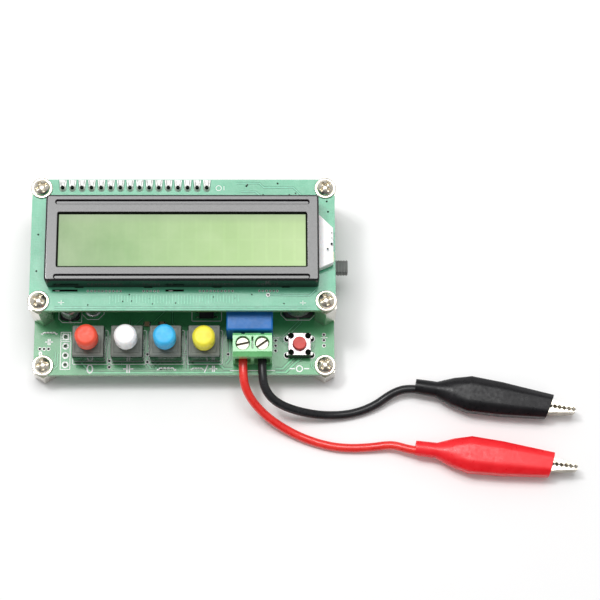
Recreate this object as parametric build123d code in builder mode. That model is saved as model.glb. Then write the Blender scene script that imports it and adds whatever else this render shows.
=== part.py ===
from build123d import *
from math import cos, pi, radians, sin, sqrt, tan
import os

# LCR meter: a main circuit board on four feet carries push switches, a screw terminal, a
# relay and a power switch; a character display stands above it on standoffs; two leads end
# in alligator clips. Millimetres. +X right, +Y towards the display's header, +Z up.
# The origin is the centre of the four feet, on the surface that they stand on.

# ---------------------------------------------------------------- driving dimensions
foot_height = 6.0
board_thickness = 1.6
board_gap = 12.0
board_length = 80.0
main_depth = 50.0
lcd_depth = 36.0
corner_radius = 2.0

main_bottom = foot_height
main_top = main_bottom + board_thickness
lcd_bottom = main_top + board_gap
lcd_top = lcd_bottom + board_thickness
lcd_centre_y = (main_depth - lcd_depth) / 2

hole_x = 37.5
rear_hole_y = 22.5
display_hole_y = -8.5
mount_hole_radius = 1.6

# M3 hardware, threads modelled smooth
hex_flats = 5.5
thread_bore_radius = 1.5
thread_radius = 1.45
tapping_radius = 1.25
tapped_depth = 3.4
stud_length = 4.0
nut_height = 2.4
head_radius = 2.85
head_height = 2.1
screw_length = 4.0

# soldered tails
tail_radius = 0.32
solder_radius = 0.5
cone_radius = 0.95
tail_length = 1.4
pin_pitch = 2.54

# sixteen-way header
header_count = 16
header_x = -32.0
header_y = 22.5
strip_height = 2.5
socket_height = 8.5

# display bezel
bezel_length = 71.2
bezel_depth = 23.4
bezel_height = 6.4
sheet = 0.5
window_length = 64.8
window_depth = 14.6
window_y = 6.45
groove_length = 66.4
groove_width = 1.3
groove_depth = 1.0
groove_y = (-3.55, 16.7)
tab_x = (-27.0, -9.0, 9.0, 27.0)
glass_thickness = 2.2

# push switches
switch_y = -17.5
switch_x = {"zero": -25.0, "high_c": -14.84, "high_l": -4.68, "mode": 5.48}
switch_width = 8.5
switch_height = 7.4
cavity_radius = 3.0
cap_radius = 2.97
cap_height = 4.9
cap_lift = 9.2
stem_width = 3.0
stem_clearance = 0.05
latched_drop = 1.3

# tact button
function_x = 30.65
function_y = -17.5
function_width = 6.0

# screw terminal
terminal_x = {"red": 15.66, "black": 20.74}
terminal_centre_x = 18.2
terminal_width = 10.3
terminal_front = -22.3
terminal_back = -16.0
terminal_height = 10.0
clamp_screw_y = -18.8
wire_z = 10.6
core_radius = 0.5
clamp_travel = 1.0

# power switch
power_y = 5.35
power_length = 12.7
power_height = 6.0
power_back_x = 33.0
power_front_x = 39.8
knob_y = 3.6
knob_width = 3.55
knob_reach_x = 43.65
knob_z = main_top + 3.0
power_travel = 3.5

# power inlet
jack_x = (-40.0, -26.0)
jack_y = 10.0
jack_width = 9.0
jack_height = 11.0
jack_bore_radius = 3.0
jack_pin_radius = 1.05
jack_axis_z = main_top + 6.5

# leads and clips
lead_radius = 1.15
clip_axis_z = 3.5
clip_places = {"red": ((61.4, -44.1), -7.4), "black": ((61.75, -27.3), -9.2)}
boot_length = 37.0
boot_wall = 0.8
tail_outer_radius = 2.1
lead_offset = (-0.6, -0.4)
pivot_u = 21.0
pivot_radius = 0.8
jaw_tip_u = 43.0
jaw_sheet = 0.45
fixed_half_width = 2.1
moving_half_width = 1.6
tooth_pitch = 1.25
tooth_count = 9
spring_radius = 1.35
spring_wire = 0.25

os.makedirs("parts", exist_ok=True)


# ---------------------------------------------------------------- helpers
def save(builder, name):
    """Label a finished piece and write it as its own STEP file."""
    builder.part.label = name
    export_step(builder.part, f"parts/{name}.step")


def block(x, y, z, mode=Mode.ADD):
    """Add a box given as its (low, high) span along each axis."""
    with Locations(((x[0] + x[1]) / 2, (y[0] + y[1]) / 2, (z[0] + z[1]) / 2)):
        Box(x[1] - x[0], y[1] - y[0], z[1] - z[0], mode=mode)


def span(centre, width):
    """The (low, high) span of a width about its centre."""
    return (centre - width / 2, centre + width / 2)


def rod(x, y, z, radius, mode=Mode.ADD):
    """Add an upright cylinder over the (low, high) span z."""
    with Locations((x, y, (z[0] + z[1]) / 2)):
        Cylinder(radius, z[1] - z[0], mode=mode)


def dome_arc(radius, low, high):
    """Arc of a shallow dome's profile, from its rim to its crown on the axis."""
    rise = high - low
    ball = (radius**2 + rise**2) / (2 * rise)
    middle = radius * 0.6
    return ThreePointArc((radius, low), (middle, high - ball + sqrt(ball**2 - middle**2)), (0, high))


def grid(centre, offsets_x, offsets_y):
    """Points of a small rectangular pattern about a centre."""
    return [(centre[0] + dx, centre[1] + dy) for dx in offsets_x for dy in offsets_y]


# ---------------------------------------------------------------- where the parts are soldered
header_points = [(header_x + i * pin_pitch, header_y) for i in range(header_count)]
corner_points = grid((0, 0), (-hole_x, hole_x), (-rear_hole_y, rear_hole_y))
rear_points = [(-hole_x, rear_hole_y), (hole_x, rear_hole_y)]
display_points = [(-hole_x, display_hole_y), (hole_x, display_hole_y)]
relay_x = (11.3, 23.6)
relay_y = (-15.4, -7.9)
relay_centre = (sum(relay_x) / 2, sum(relay_y) / 2)
crystal_centre = (-24.5, -3.5)
contact_back_y = -16.9
power_lug_x = power_back_x - 1.0
tact_leg_reach = 3.25

switch_points = []
for x in switch_x.values():
    switch_points += grid((x, switch_y), (-2.5, 0, 2.5), (-2.25, 2.25))
terminal_points = [(x, contact_back_y) for x in terminal_x.values()]
relay_points = grid(relay_centre, (-5.08, 0, 5.08), (-2.54, 2.54))
crystal_points = grid(crystal_centre, (0,), (-2.44, 2.44))
tact_points = grid((function_x, function_y), (-tact_leg_reach, tact_leg_reach), (-2.25, 2.25))
power_points = grid((power_lug_x, power_y), (0,), (-2.5, 0, 2.5))
jack_points = [(-26.9, jack_y), (-33.0, jack_y), (-30.0, jack_y - 3.5)]
solder_points = switch_points + header_points + terminal_points + relay_points
solder_points += crystal_points + tact_points + power_points + jack_points

pad_points = [(-31.6, -14.6 - i * pin_pitch) for i in range(4)]
via_points = [(-38.4, -17.9), (-37.3, -17.9), (-36.1, -17.9)]
via_points += [(24.33, -15.7 - 1.4 * i) for i in range(3)]
via_points += [(37.25, -14.1 - 1.5 * i) for i in range(3)]
via_radius = 0.25

# ---------------------------------------------------------------- circuit boards
with BuildPart() as main_board:
    with BuildSketch(Plane.XY.offset(main_bottom)):
        RectangleRounded(board_length, main_depth, corner_radius)
        with Locations(*corner_points, *display_points):
            Circle(mount_hole_radius, mode=Mode.SUBTRACT)
        with Locations(*solder_points, *pad_points):
            Circle(solder_radius, mode=Mode.SUBTRACT)
        with Locations(*via_points):
            Circle(via_radius, mode=Mode.SUBTRACT)
    extrude(amount=board_thickness)
save(main_board, "main_board")

bezel_edges_y = span(lcd_centre_y, bezel_depth)
bezel_walls_y = (bezel_edges_y[0] + sheet / 2, bezel_edges_y[1] - sheet / 2)
tab_points = [(x, y) for x in tab_x for y in bezel_walls_y]
tab_length = 2.0

with BuildPart() as lcd_board:
    with BuildSketch(Plane.XY.offset(lcd_bottom)):
        with Locations((0, lcd_centre_y)):
            RectangleRounded(board_length, lcd_depth, corner_radius)
        with Locations(*rear_points, *display_points):
            Circle(mount_hole_radius, mode=Mode.SUBTRACT)
        with Locations(*header_points):
            Circle(solder_radius, mode=Mode.SUBTRACT)
        with Locations(*tab_points):
            Rectangle(tab_length + 0.4, sheet + 0.3, mode=Mode.SUBTRACT)
    extrude(amount=board_thickness)
save(lcd_board, "lcd_board")

# ---------------------------------------------------------------- stacking hardware
hex_radius = hex_flats / 2 / cos(radians(30))

# the empty tapped hole at the bottom is drawn at its tapping size
with BuildPart() as foot_standoffs:
    with BuildSketch():
        with Locations(*corner_points):
            RegularPolygon(hex_radius, 6, rotation=30)
            Circle(tapping_radius, mode=Mode.SUBTRACT)
    extrude(amount=foot_height)
    for x, y in corner_points:
        rod(x, y, (tapped_depth, foot_height), thread_bore_radius, Mode.SUBTRACT)
    foot_rims = foot_standoffs.faces().filter_by(Plane.XY).edges().filter_by(GeomType.CIRCLE)
    chamfer(foot_rims.filter_by(lambda rim: rim.center().Z in (0, foot_height)), 0.2)
save(foot_standoffs, "foot_standoffs")

with BuildPart() as lcd_standoffs:
    with BuildSketch(Plane.XY.offset(main_top)):
        with Locations(*rear_points, *display_points):
            RegularPolygon(hex_radius, 6, rotation=30)
    extrude(amount=board_gap)
    for x, y in rear_points + display_points:
        rod(x, y, (main_top - stud_length, main_top), thread_radius)
        rod(x, y, (lcd_bottom - board_gap / 2, lcd_bottom), thread_bore_radius, Mode.SUBTRACT)
save(lcd_standoffs, "lcd_standoffs")

with BuildPart() as standoff_nuts:
    with BuildSketch(Plane.XY.offset(main_bottom - nut_height)):
        with Locations(*display_points):
            RegularPolygon(hex_radius, 6, rotation=30)
            Circle(thread_bore_radius, mode=Mode.SUBTRACT)
    extrude(amount=nut_height)
save(standoff_nuts, "standoff_nuts")

recess_width = 0.65
recess_length = 3.1
recess_depth = 1.1

with BuildPart() as screw:
    with BuildSketch(Plane.XZ):
        with BuildLine():
            Line((0, head_height), (0, -screw_length))
            Polyline((0, -screw_length), (thread_radius, -screw_length), (thread_radius, 0), (head_radius, 0))
            Line((head_radius, 0), (head_radius, 0.6))
            dome_arc(head_radius, 0.6, head_height)
        make_face()
    revolve(axis=Axis.Z)
    with BuildSketch(Plane.XY.offset(head_height)):
        Rectangle(recess_length, recess_width)
        Rectangle(recess_width, recess_length)
    extrude(amount=-recess_depth, taper=12, mode=Mode.SUBTRACT)

screw_turns = {
    (-hole_x, rear_hole_y): 20,
    (hole_x, rear_hole_y): 38,
    (-hole_x, display_hole_y): 5,
    (hole_x, display_hole_y): 32,
    (-hole_x, -rear_hole_y): 40,
    (hole_x, -rear_hole_y): 12,
}
with BuildPart() as pan_head_screws:
    for (x, y), turn in screw_turns.items():
        seat = main_top if y == -rear_hole_y else lcd_top
        with Locations(Location((x, y, seat), (0, 0, turn))):
            add(screw.part)
save(pan_head_screws, "pan_head_screws")

# ---------------------------------------------------------------- board-to-board header
with BuildPart() as header_pin:
    pin_low = main_top + 2.2
    pin_high = lcd_top + 1.6
    with BuildSketch(Plane.XZ):
        with BuildLine():
            Polyline(
                (0, lcd_bottom),
                (solder_radius, lcd_bottom),
                (solder_radius, lcd_top),
                (cone_radius, lcd_top),
                (tail_radius, lcd_top + 1.1),
                (tail_radius, pin_high),
                (0, pin_high),
                close=True,
            )
        make_face()
    revolve(axis=Axis.Z)
    rod(0, 0, (pin_low, lcd_bottom), tail_radius)

with BuildPart() as header_pins:
    with Locations(*header_points):
        add(header_pin.part)
save(header_pins, "header_pins")

header_length = header_count * pin_pitch
header_centre_x = header_x + (header_count - 1) * pin_pitch / 2

with BuildPart() as header_strip:
    block(
        span(header_centre_x, header_length),
        span(header_y, pin_pitch),
        (lcd_bottom - strip_height, lcd_bottom),
    )
    with BuildSketch(Plane.XY.offset(lcd_bottom - strip_height)):
        with Locations(*header_points):
            Circle(tail_radius + 0.01)
    extrude(amount=strip_height, mode=Mode.SUBTRACT)
save(header_strip, "header_strip")

with BuildPart() as header_socket:
    socket_top = main_top + socket_height
    block(span(header_centre_x, header_length), span(header_y, pin_pitch), (main_top, socket_top))
    with BuildSketch(Plane.XY.offset(socket_top)):
        with Locations(*header_points):
            Rectangle(0.9, 0.9)
    extrude(amount=-(socket_height - 2.0), mode=Mode.SUBTRACT)
save(header_socket, "header_socket")

# ---------------------------------------------------------------- display
bezel_top = lcd_top + bezel_height
glass_top = bezel_top - sheet
glass_bottom = glass_top - glass_thickness
glass_y = (groove_y[0] + groove_width / 2 + 0.4, groove_y[1] - groove_width / 2 - 0.4)
light_x = 33.2
light_y = (-1.2, 14.2)
light_tab = [(33.2, -0.4), (35.8, -0.4), (39.4, 1.2), (39.4, 10.6), (35.8, 14.2), (33.2, 14.2)]
light_tab_height = 3.0

with BuildPart() as lcd_bezel:
    wall_x = span(0, bezel_length)
    block(wall_x, bezel_edges_y, (lcd_top, bezel_top))
    fillet(lcd_bezel.edges().filter_by(Axis.Z), 0.8)
    block(
        (wall_x[0] + sheet, wall_x[1] - sheet),
        (bezel_edges_y[0] + sheet, bezel_edges_y[1] - sheet),
        (lcd_top, glass_top),
        Mode.SUBTRACT,
    )
    for y in groove_y:
        trough_y = (
            max(y - groove_width / 2 - 0.3, bezel_edges_y[0] + sheet / 2),
            y + groove_width / 2 + 0.3,
        )
        block(span(0, groove_length + 0.6), trough_y, (bezel_top - groove_depth - 0.4, bezel_top))
        with BuildSketch(Plane.XY.offset(bezel_top)):
            with Locations((0, y)):
                SlotOverall(groove_length, groove_width)
        extrude(amount=-groove_depth, mode=Mode.SUBTRACT)
    with BuildSketch(Plane.XY.offset(glass_top)):
        with Locations((0, window_y)):
            Rectangle(window_length, window_depth)
    extrude(amount=sheet, mode=Mode.SUBTRACT)
    block(
        (wall_x[1] - 2 * sheet, wall_x[1] + sheet),
        (light_tab[0][1] - 0.3, light_tab[-1][1] + 0.3),
        (lcd_top, lcd_top + light_tab_height + 0.2),
        Mode.SUBTRACT,
    )
    for x, y in tab_points:
        block(span(x, tab_length), span(y, sheet), (lcd_bottom - 0.05, lcd_top))
        with Locations(Location((x, y, lcd_bottom - 0.6), (0, 0, 35))):
            Box(tab_length, sheet, 1.1)
save(lcd_bezel, "lcd_bezel")

with BuildPart() as lcd_glass:
    block(span(0, 68.0), glass_y, (glass_bottom, glass_top))
save(lcd_glass, "lcd_glass")

with BuildPart() as lcd_backlight:
    block((-light_x, light_x), light_y, (lcd_top, glass_bottom))
    with BuildSketch(Plane.XY.offset(lcd_top)):
        with BuildLine():
            Polyline(*light_tab, close=True)
        make_face()
    extrude(amount=light_tab_height)
save(lcd_backlight, "lcd_backlight")

with BuildPart() as lcd_zebra_strips:
    for strip_y in ((glass_y[0], light_y[0] - 0.1), (light_y[1] + 0.1, glass_y[1])):
        block(span(0, 64.0), strip_y, (lcd_top, glass_bottom))
save(lcd_zebra_strips, "lcd_zebra_strips")

# ---------------------------------------------------------------- push switches
cavity_floor = main_top + 1.0
switch_top = main_top + switch_height
cavity_ceiling = switch_top - 1.2
flange_thickness = 1.0
stem_in_cap = 3.6


def make_switch_housing(name, x):
    """Square housing with a round cavity and a square guide hole in its top."""
    with BuildPart() as housing:
        block(span(x, switch_width), span(switch_y, switch_width), (main_top, switch_top))
        chamfer(housing.faces().sort_by(Axis.Z)[-1].edges(), 0.25)
        rod(x, switch_y, (cavity_floor, cavity_ceiling), cavity_radius, Mode.SUBTRACT)
        guide = stem_width + 2 * stem_clearance
        block(span(x, guide), span(switch_y, guide), (cavity_ceiling, switch_top), Mode.SUBTRACT)
    save(housing, f"{name}_switch_housing")


def make_plunger(name, x, drop):
    """Square stem with a flange that stops it, and a post that centres the spring."""
    flange_top = cavity_ceiling - stem_clearance - drop
    with BuildPart() as plunger:
        stem_top = main_top + cap_lift + stem_in_cap - drop
        block(span(x, stem_width), span(switch_y, stem_width), (flange_top, stem_top))
        rod(x, switch_y, (flange_top - flange_thickness, flange_top), cavity_radius - 0.1)
        rod(x, switch_y, (flange_top - flange_thickness - 1.2, flange_top - flange_thickness), 0.9)
    save(plunger, f"{name}_plunger")


def make_cap(name, x, drop):
    """Round push-on cap with a chamfered rim and a square socket."""
    low = main_top + cap_lift - drop
    with BuildPart() as cap:
        rod(x, switch_y, (low, low + cap_height), cap_radius)
        chamfer(cap.edges().filter_by(GeomType.CIRCLE).sort_by(Axis.Z)[-1], 0.55)
        fillet(cap.edges().filter_by(GeomType.CIRCLE).sort_by(Axis.Z)[0], 0.2)
        block(span(x, stem_width), span(switch_y, stem_width), (low, low + stem_in_cap), Mode.SUBTRACT)
    save(cap, f"{name}_cap")


def make_switch_spring(name, x, drop):
    """Helical return spring between the housing's floor and the plunger's flange."""
    wire = 0.16
    low = cavity_floor + wire + 0.04
    high = cavity_ceiling - stem_clearance - drop - flange_thickness - wire - 0.04
    turns = 5
    coil = Helix((high - low) / turns, high - low, 1.6, center=(x, switch_y, low))
    with BuildPart() as spring:
        with BuildSketch(Plane(origin=coil @ 0, z_dir=coil % 0)):
            Circle(wire)
        sweep(path=coil, is_frenet=True)
    save(spring, f"{name}_spring")


for name, x in switch_x.items():
    drop = latched_drop if name == "mode" else 0.0
    make_switch_housing(name, x)
    make_plunger(name, x, drop)
    make_cap(name, x, drop)
    make_switch_spring(name, x, drop)

# ---------------------------------------------------------------- tact button
tact_base_top = main_top + 3.2
tact_plate_top = tact_base_top + 0.3
tact_floor = main_top + 1.7
tact_dome_height = 0.4
tact_corner = 2.25
rivet_radius = 0.42
rivet_points = grid((function_x, function_y), (-tact_corner, tact_corner), (-tact_corner, tact_corner))

with BuildPart() as function_button_base:
    block(
        span(function_x, function_width),
        span(function_y, function_width),
        (main_top, tact_base_top),
    )
    rod(function_x, function_y, (tact_floor, tact_base_top), 2.15, Mode.SUBTRACT)
    for x, y in rivet_points:
        rod(x, y, (tact_base_top, tact_plate_top), rivet_radius)
        rod(x, y, (tact_plate_top, tact_plate_top + 0.2), rivet_radius + 0.15)
save(function_button_base, "function_button_base")

with BuildPart() as function_button_cover:
    with BuildSketch(Plane.XY.offset(tact_base_top)):
        with Locations((function_x, function_y)):
            Rectangle(function_width - 0.2, function_width)
            Circle(1.85, mode=Mode.SUBTRACT)
        with Locations(*rivet_points):
            Circle(rivet_radius, mode=Mode.SUBTRACT)
    extrude(amount=tact_plate_top - tact_base_top)
save(function_button_cover, "function_button_cover")

with BuildPart() as function_button_cap:
    dome_top = tact_floor + tact_dome_height
    rod(function_x, function_y, (dome_top + 0.02, tact_base_top - 0.45), 0.9)
    rod(function_x, function_y, (tact_base_top - 0.45, tact_base_top - 0.05), 2.08)
    rod(function_x, function_y, (tact_base_top - 0.05, main_top + 5.0), 1.75)
    fillet(function_button_cap.edges().filter_by(GeomType.CIRCLE).sort_by(Axis.Z)[-1], 0.25)
save(function_button_cap, "function_button_cap")

with BuildPart() as function_button_dome:
    dome_radius = 2.0
    dome_sheet = 0.08
    dome_plane = Plane(origin=(function_x, function_y, tact_floor), x_dir=(1, 0, 0), z_dir=(0, -1, 0))
    with BuildSketch(dome_plane):
        with BuildLine():
            low_arc = dome_arc(dome_radius, 0, tact_dome_height - dome_sheet)
            Line(low_arc @ 1, (0, tact_dome_height))
            high_arc = dome_arc(dome_radius, dome_sheet, tact_dome_height)
            Line(high_arc @ 0, low_arc @ 0)
        make_face()
    revolve(axis=Axis((function_x, function_y, tact_floor), (0, 0, 1)))
save(function_button_dome, "function_button_dome")

# ---------------------------------------------------------------- screw terminal
chamber_width = 4.2
chamber_y = (-20.4, -16.55)
chamber_z = (main_top + 0.7, main_top + 6.75)
well_floor = main_top + 7.4
terminal_top = main_top + terminal_height
wire_opening_width = 4.1
wire_opening_z = (main_top + 1.4, main_top + 7.0)
latch_z = (terminal_top - 1.6, terminal_top)
bar_z = (wire_z + core_radius + 0.02, wire_z + core_radius + 0.82)
bar_width = 2.4
bar_sheet = 0.35
cage_floor_top = wire_z - core_radius - 0.02
cage_top_z = (bar_z[1] + clamp_travel + 0.1, bar_z[1] + clamp_travel + 1.25)
cage_y = (-20.3, -17.4)
cage_width = 4.0

with BuildPart() as terminal_housing:
    with BuildSketch(Plane.YZ.offset(terminal_centre_x - terminal_width / 2)):
        with BuildLine():
            Polyline(
                (terminal_front, main_top),
                (terminal_front, terminal_top - 0.9),
                (terminal_front + 1.2, terminal_top),
                (terminal_back - 0.7, terminal_top),
                (terminal_back, terminal_top - 0.6),
                (terminal_back, main_top),
                close=True,
            )
        make_face()
    extrude(amount=terminal_width)
    for x in terminal_x.values():
        block(span(x, chamber_width), chamber_y, chamber_z, Mode.SUBTRACT)
        rod(x, clamp_screw_y, (chamber_z[1], well_floor), 1.4, Mode.SUBTRACT)
        rod(x, clamp_screw_y, (well_floor, terminal_top), 1.9, Mode.SUBTRACT)
        block(span(x, wire_opening_width), (terminal_front, chamber_y[0]), wire_opening_z, Mode.SUBTRACT)
        block(span(x + 0.1, 0.9), (terminal_back - 0.3, terminal_back), latch_z, Mode.SUBTRACT)
        block(span(x, bar_width + 0.1), (-17.1, -16.7), (main_top, chamber_z[0]), Mode.SUBTRACT)
    block(
        span(terminal_centre_x, 0.5),
        (terminal_front + 2.0, terminal_back - 1.1),
        (terminal_top - 2.2, terminal_top),
        Mode.SUBTRACT,
    )
save(terminal_housing, "terminal_housing")

for colour, x in terminal_x.items():
    with BuildPart() as terminal_screw:
        rod(x, clamp_screw_y, (bar_z[1] + 0.02, well_floor + 0.02), 1.25)
        rod(x, clamp_screw_y, (well_floor + 0.02, well_floor + 1.6), 1.75)
        chamfer(terminal_screw.edges().filter_by(GeomType.CIRCLE).sort_by(Axis.Z)[-1], 0.2)
        slot_turn = 12 if colour == "red" else 35
        with Locations(Location((x, clamp_screw_y, well_floor + 1.3), (0, 0, slot_turn))):
            Box(4.0, 0.6, 0.7, mode=Mode.SUBTRACT)
    save(terminal_screw, f"{colour}_terminal_screw")

    with BuildPart() as terminal_clamp:
        block(span(x, cage_width), cage_y, (cage_floor_top - 0.6, cage_top_z[1]))
        block(span(x, cage_width - 1.0), cage_y, (cage_floor_top, cage_top_z[0]), Mode.SUBTRACT)
        rod(x, clamp_screw_y, cage_top_z, 1.3, Mode.SUBTRACT)
    save(terminal_clamp, f"{colour}_terminal_clamp")

# ---------------------------------------------------------------- soldered contacts
with BuildPart() as solder_tail:
    with BuildSketch(Plane.XZ):
        with BuildLine():
            Polyline(
                (0, main_bottom - tail_length),
                (tail_radius, main_bottom - tail_length),
                (tail_radius, main_bottom - 1.0),
                (cone_radius, main_bottom),
                (solder_radius, main_bottom),
                (solder_radius, main_top),
                (0, main_top),
                close=True,
            )
        make_face()
    revolve(axis=Axis.Z)

with BuildPart() as soldered_terminals:
    with Locations(*solder_points):
        add(solder_tail.part)
    for x in terminal_x.values():
        block(span(x, bar_width), (-20.6, -16.75), bar_z)
        block(span(x, bar_width), (-16.75 - bar_sheet, -16.75), (main_top, bar_z[1]))
    leg_sheet = 0.3
    for x, y in tact_points:
        side = 1 if x > function_x else -1
        flank = function_x + side * function_width / 2
        block(sorted((flank, x + side * 0.15)), span(y, 0.7), (main_top + 1.5, main_top + 1.5 + leg_sheet))
        block(span(x, leg_sheet), span(y, 0.7), (main_top, main_top + 1.5 + leg_sheet))
    for x, y in power_points:
        block(span(x, 0.4), span(y, 0.8), (main_top, knob_z + 0.2))
        block((x - 0.2, power_back_x), span(y, 0.8), span(knob_z, 0.4))
    with Locations(Location(((jack_x[0] + 2.0 + jack_x[1] - 4.5) / 2, jack_y, jack_axis_z), (0, 90, 0))):
        Cylinder(jack_pin_radius, jack_x[1] - 4.5 - jack_x[0] - 2.0)
save(soldered_terminals, "soldered_terminals")

# ---------------------------------------------------------------- slide power switch
power_span_y = span(power_y, power_length)
power_top = main_top + power_height
power_wall = 0.35
power_base_front = power_back_x + 1.2

with BuildPart() as power_switch_base:
    block((power_back_x, power_base_front), power_span_y, (main_top, power_top))
save(power_switch_base, "power_switch_base")

with BuildPart() as power_switch_shell:
    block((power_base_front, power_front_x), power_span_y, (main_top, power_top))
    chamfer(power_switch_shell.edges().filter_by(Axis.Z).group_by(Axis.X)[-1], 0.3)
    block(
        (power_base_front, power_front_x - power_wall),
        (power_span_y[0] + power_wall, power_span_y[1] - power_wall),
        (main_top + power_wall, power_top - power_wall),
        Mode.SUBTRACT,
    )
    block(
        (power_front_x - 2 * power_wall, power_front_x),
        (knob_y - knob_width / 2 - 0.15, knob_y + power_travel + knob_width / 2 + 0.15),
        span(knob_z, 3.3),
        Mode.SUBTRACT,
    )
save(power_switch_shell, "power_switch_shell")

with BuildPart() as power_switch_slider:
    block((power_front_x - 1.0, knob_reach_x), span(knob_y, knob_width), span(knob_z, 3.0))
    chamfer(power_switch_slider.edges().group_by(Axis.X)[-1], 0.25)
    block(
        (power_base_front + 0.3, power_front_x - power_wall - 0.1),
        span(knob_y, 7.0),
        span(knob_z, 4.6),
    )
save(power_switch_slider, "power_switch_slider")

# ---------------------------------------------------------------- power inlet and relay
with BuildPart() as dc_jack_housing:
    block(jack_x, span(jack_y, jack_width), (main_top, main_top + jack_height))
    chamfer(dc_jack_housing.edges().filter_by(Axis.X).sort_by(Axis.Z)[-2:], 0.8)
    with BuildSketch(Plane(origin=(jack_x[0], jack_y, jack_axis_z), x_dir=(0, 1, 0), z_dir=(1, 0, 0))):
        Circle(jack_bore_radius)
    extrude(amount=jack_x[1] - jack_x[0] - 4.5, mode=Mode.SUBTRACT)
save(dc_jack_housing, "dc_jack_housing")

with BuildPart() as relay:
    block(relay_x, relay_y, (main_top, main_top + 10.0))
    chamfer(relay.faces().sort_by(Axis.Z)[-1].edges(), 0.3)
save(relay, "relay")

# ---------------------------------------------------------------- chips and other parts
controller_centre = (-8.0, 6.0)
controller_width = 10.0
controller_pins = 11
controller_pitch = 0.8

with BuildPart() as microcontroller:
    with BuildSketch(Plane.XY.offset(main_top + 0.1)):
        with Locations(controller_centre):
            Rectangle(controller_width, controller_width)
    extrude(amount=1.4)
    chamfer(microcontroller.faces().sort_by(Axis.Z)[-1].edges(), 0.2)
    row = [(i - (controller_pins - 1) / 2) * controller_pitch for i in range(controller_pins)]
    reach = controller_width / 2 + 0.5
    for side in (-1, 1):
        for step in row:
            for dx, dy, size in ((side * reach, step, (1.2, 0.35)), (step, side * reach, (0.35, 1.2))):
                x = controller_centre[0] + dx
                y = controller_centre[1] + dy
                block(span(x, size[0]), span(y, size[1]), (main_top, main_top + 0.4))
save(microcontroller, "microcontroller")

with BuildPart() as crystal:
    with BuildSketch(Plane.XY.offset(main_top)):
        with Locations(crystal_centre):
            SlotOverall(11.4, 4.65, rotation=90)
    extrude(amount=0.5)
    with BuildSketch(Plane.XY.offset(main_top + 0.5)):
        with Locations(crystal_centre):
            SlotOverall(10.4, 3.8, rotation=90)
    extrude(amount=3.0)
    fillet(crystal.faces().sort_by(Axis.Z)[-1].edges(), 0.4)
save(crystal, "crystal")

capacitor_sizes = (((-30.55, -7.6), 5.0, 5.4), ((30.35, -5.5), 8.0, 6.5))
with BuildPart() as electrolytic_capacitors:
    for (x, y), diameter, height in capacitor_sizes:
        block(span(x, diameter + 0.2), span(y, diameter + 0.2), (main_top, main_top + 0.9))
        rod(x, y, (main_top + 0.9, main_top + height), diameter / 2)
save(electrolytic_capacitors, "electrolytic_capacitors")

small_outline_chips = ((5.9, -7.3), (5.9, 4.0), (-21.0, 17.0))
chip_capacitors = ((-18.0, -6.0), (-14.0, -6.0), (-2.0, -5.5), (1.0, 12.0), (-19.0, 12.0), (14.0, 2.0))
chip_capacitors += ((18.0, 2.0), (22.0, 6.0), (-20.0, 3.0), (24.0, 14.0), (-10.0, -11.2), (-6.0, -11.2))
display_drivers = ((-14.0, 7.0), (16.0, 7.0))
with BuildPart() as driver_blob:
    blob_radius = 6.0
    blob_height = 1.2
    with BuildSketch(Plane(origin=(0, 0, 0), x_dir=(1, 0, 0), z_dir=(0, 1, 0))):
        with BuildLine():
            blob_arc = dome_arc(blob_radius, 0, blob_height)
            Line(blob_arc @ 1, (0, 0))
            Line((0, 0), blob_arc @ 0)
        make_face()
    revolve(axis=Axis.Z)

with BuildPart() as chip_parts:
    for x, y in small_outline_chips:
        block(span(x, 3.9), span(y, 4.9), (main_top + 0.1, main_top + 1.6))
        for step in (-1.905, -0.635, 0.635, 1.905):
            block(span(x, 6.0), span(y + step, 0.42), (main_top, main_top + 0.5))
    for x, y in chip_capacitors:
        block(span(x, 2.0), span(y, 1.25), (main_top, main_top + 0.8))
    for x, y in display_drivers:
        with Locations((x, y, lcd_bottom)):
            add(driver_blob.part)
save(chip_parts, "chip_parts")


# ---------------------------------------------------------------- alligator clips
def clip_plane(colour):
    """The clip's own plane: x towards its mouth, y across its jaws, origin at its tail."""
    (x, y), heading = clip_places[colour]
    ahead = (cos(radians(heading)), sin(radians(heading)), 0)
    return Plane(origin=(x, y, clip_axis_z), x_dir=ahead, z_dir=(0, 0, 1))


def jaw_outer(side):
    """Outer edge of a jaw's side profile, from its handle to its tip."""
    points = ((12.0, 3.2), (15.5, 3.9), (pivot_u, 2.9), (27.0, 2.5), (36.0, 1.95), (jaw_tip_u, 0.8))
    return [(u, side * v) for u, v in points]


def jaw_inner(side):
    """Inner edge, from the tip's teeth back past the pivot's ear to the handle."""
    tip = (jaw_tip_u + 0.1, 0.1)
    teeth = []
    for i in range(tooth_count):
        start = tip[0] - i * tooth_pitch
        teeth += [(start - tooth_pitch / 2, 0.65), (start - tooth_pitch, 0.1)]
    ear = [(30.0, 0.9), (24.0, 0.9), (22.4, -1.2), (19.7, -1.2), (18.8, 0.8), (12.0, 2.2)]
    return [(u, side * v) for u, v in [tip] + teeth + ear]


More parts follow.
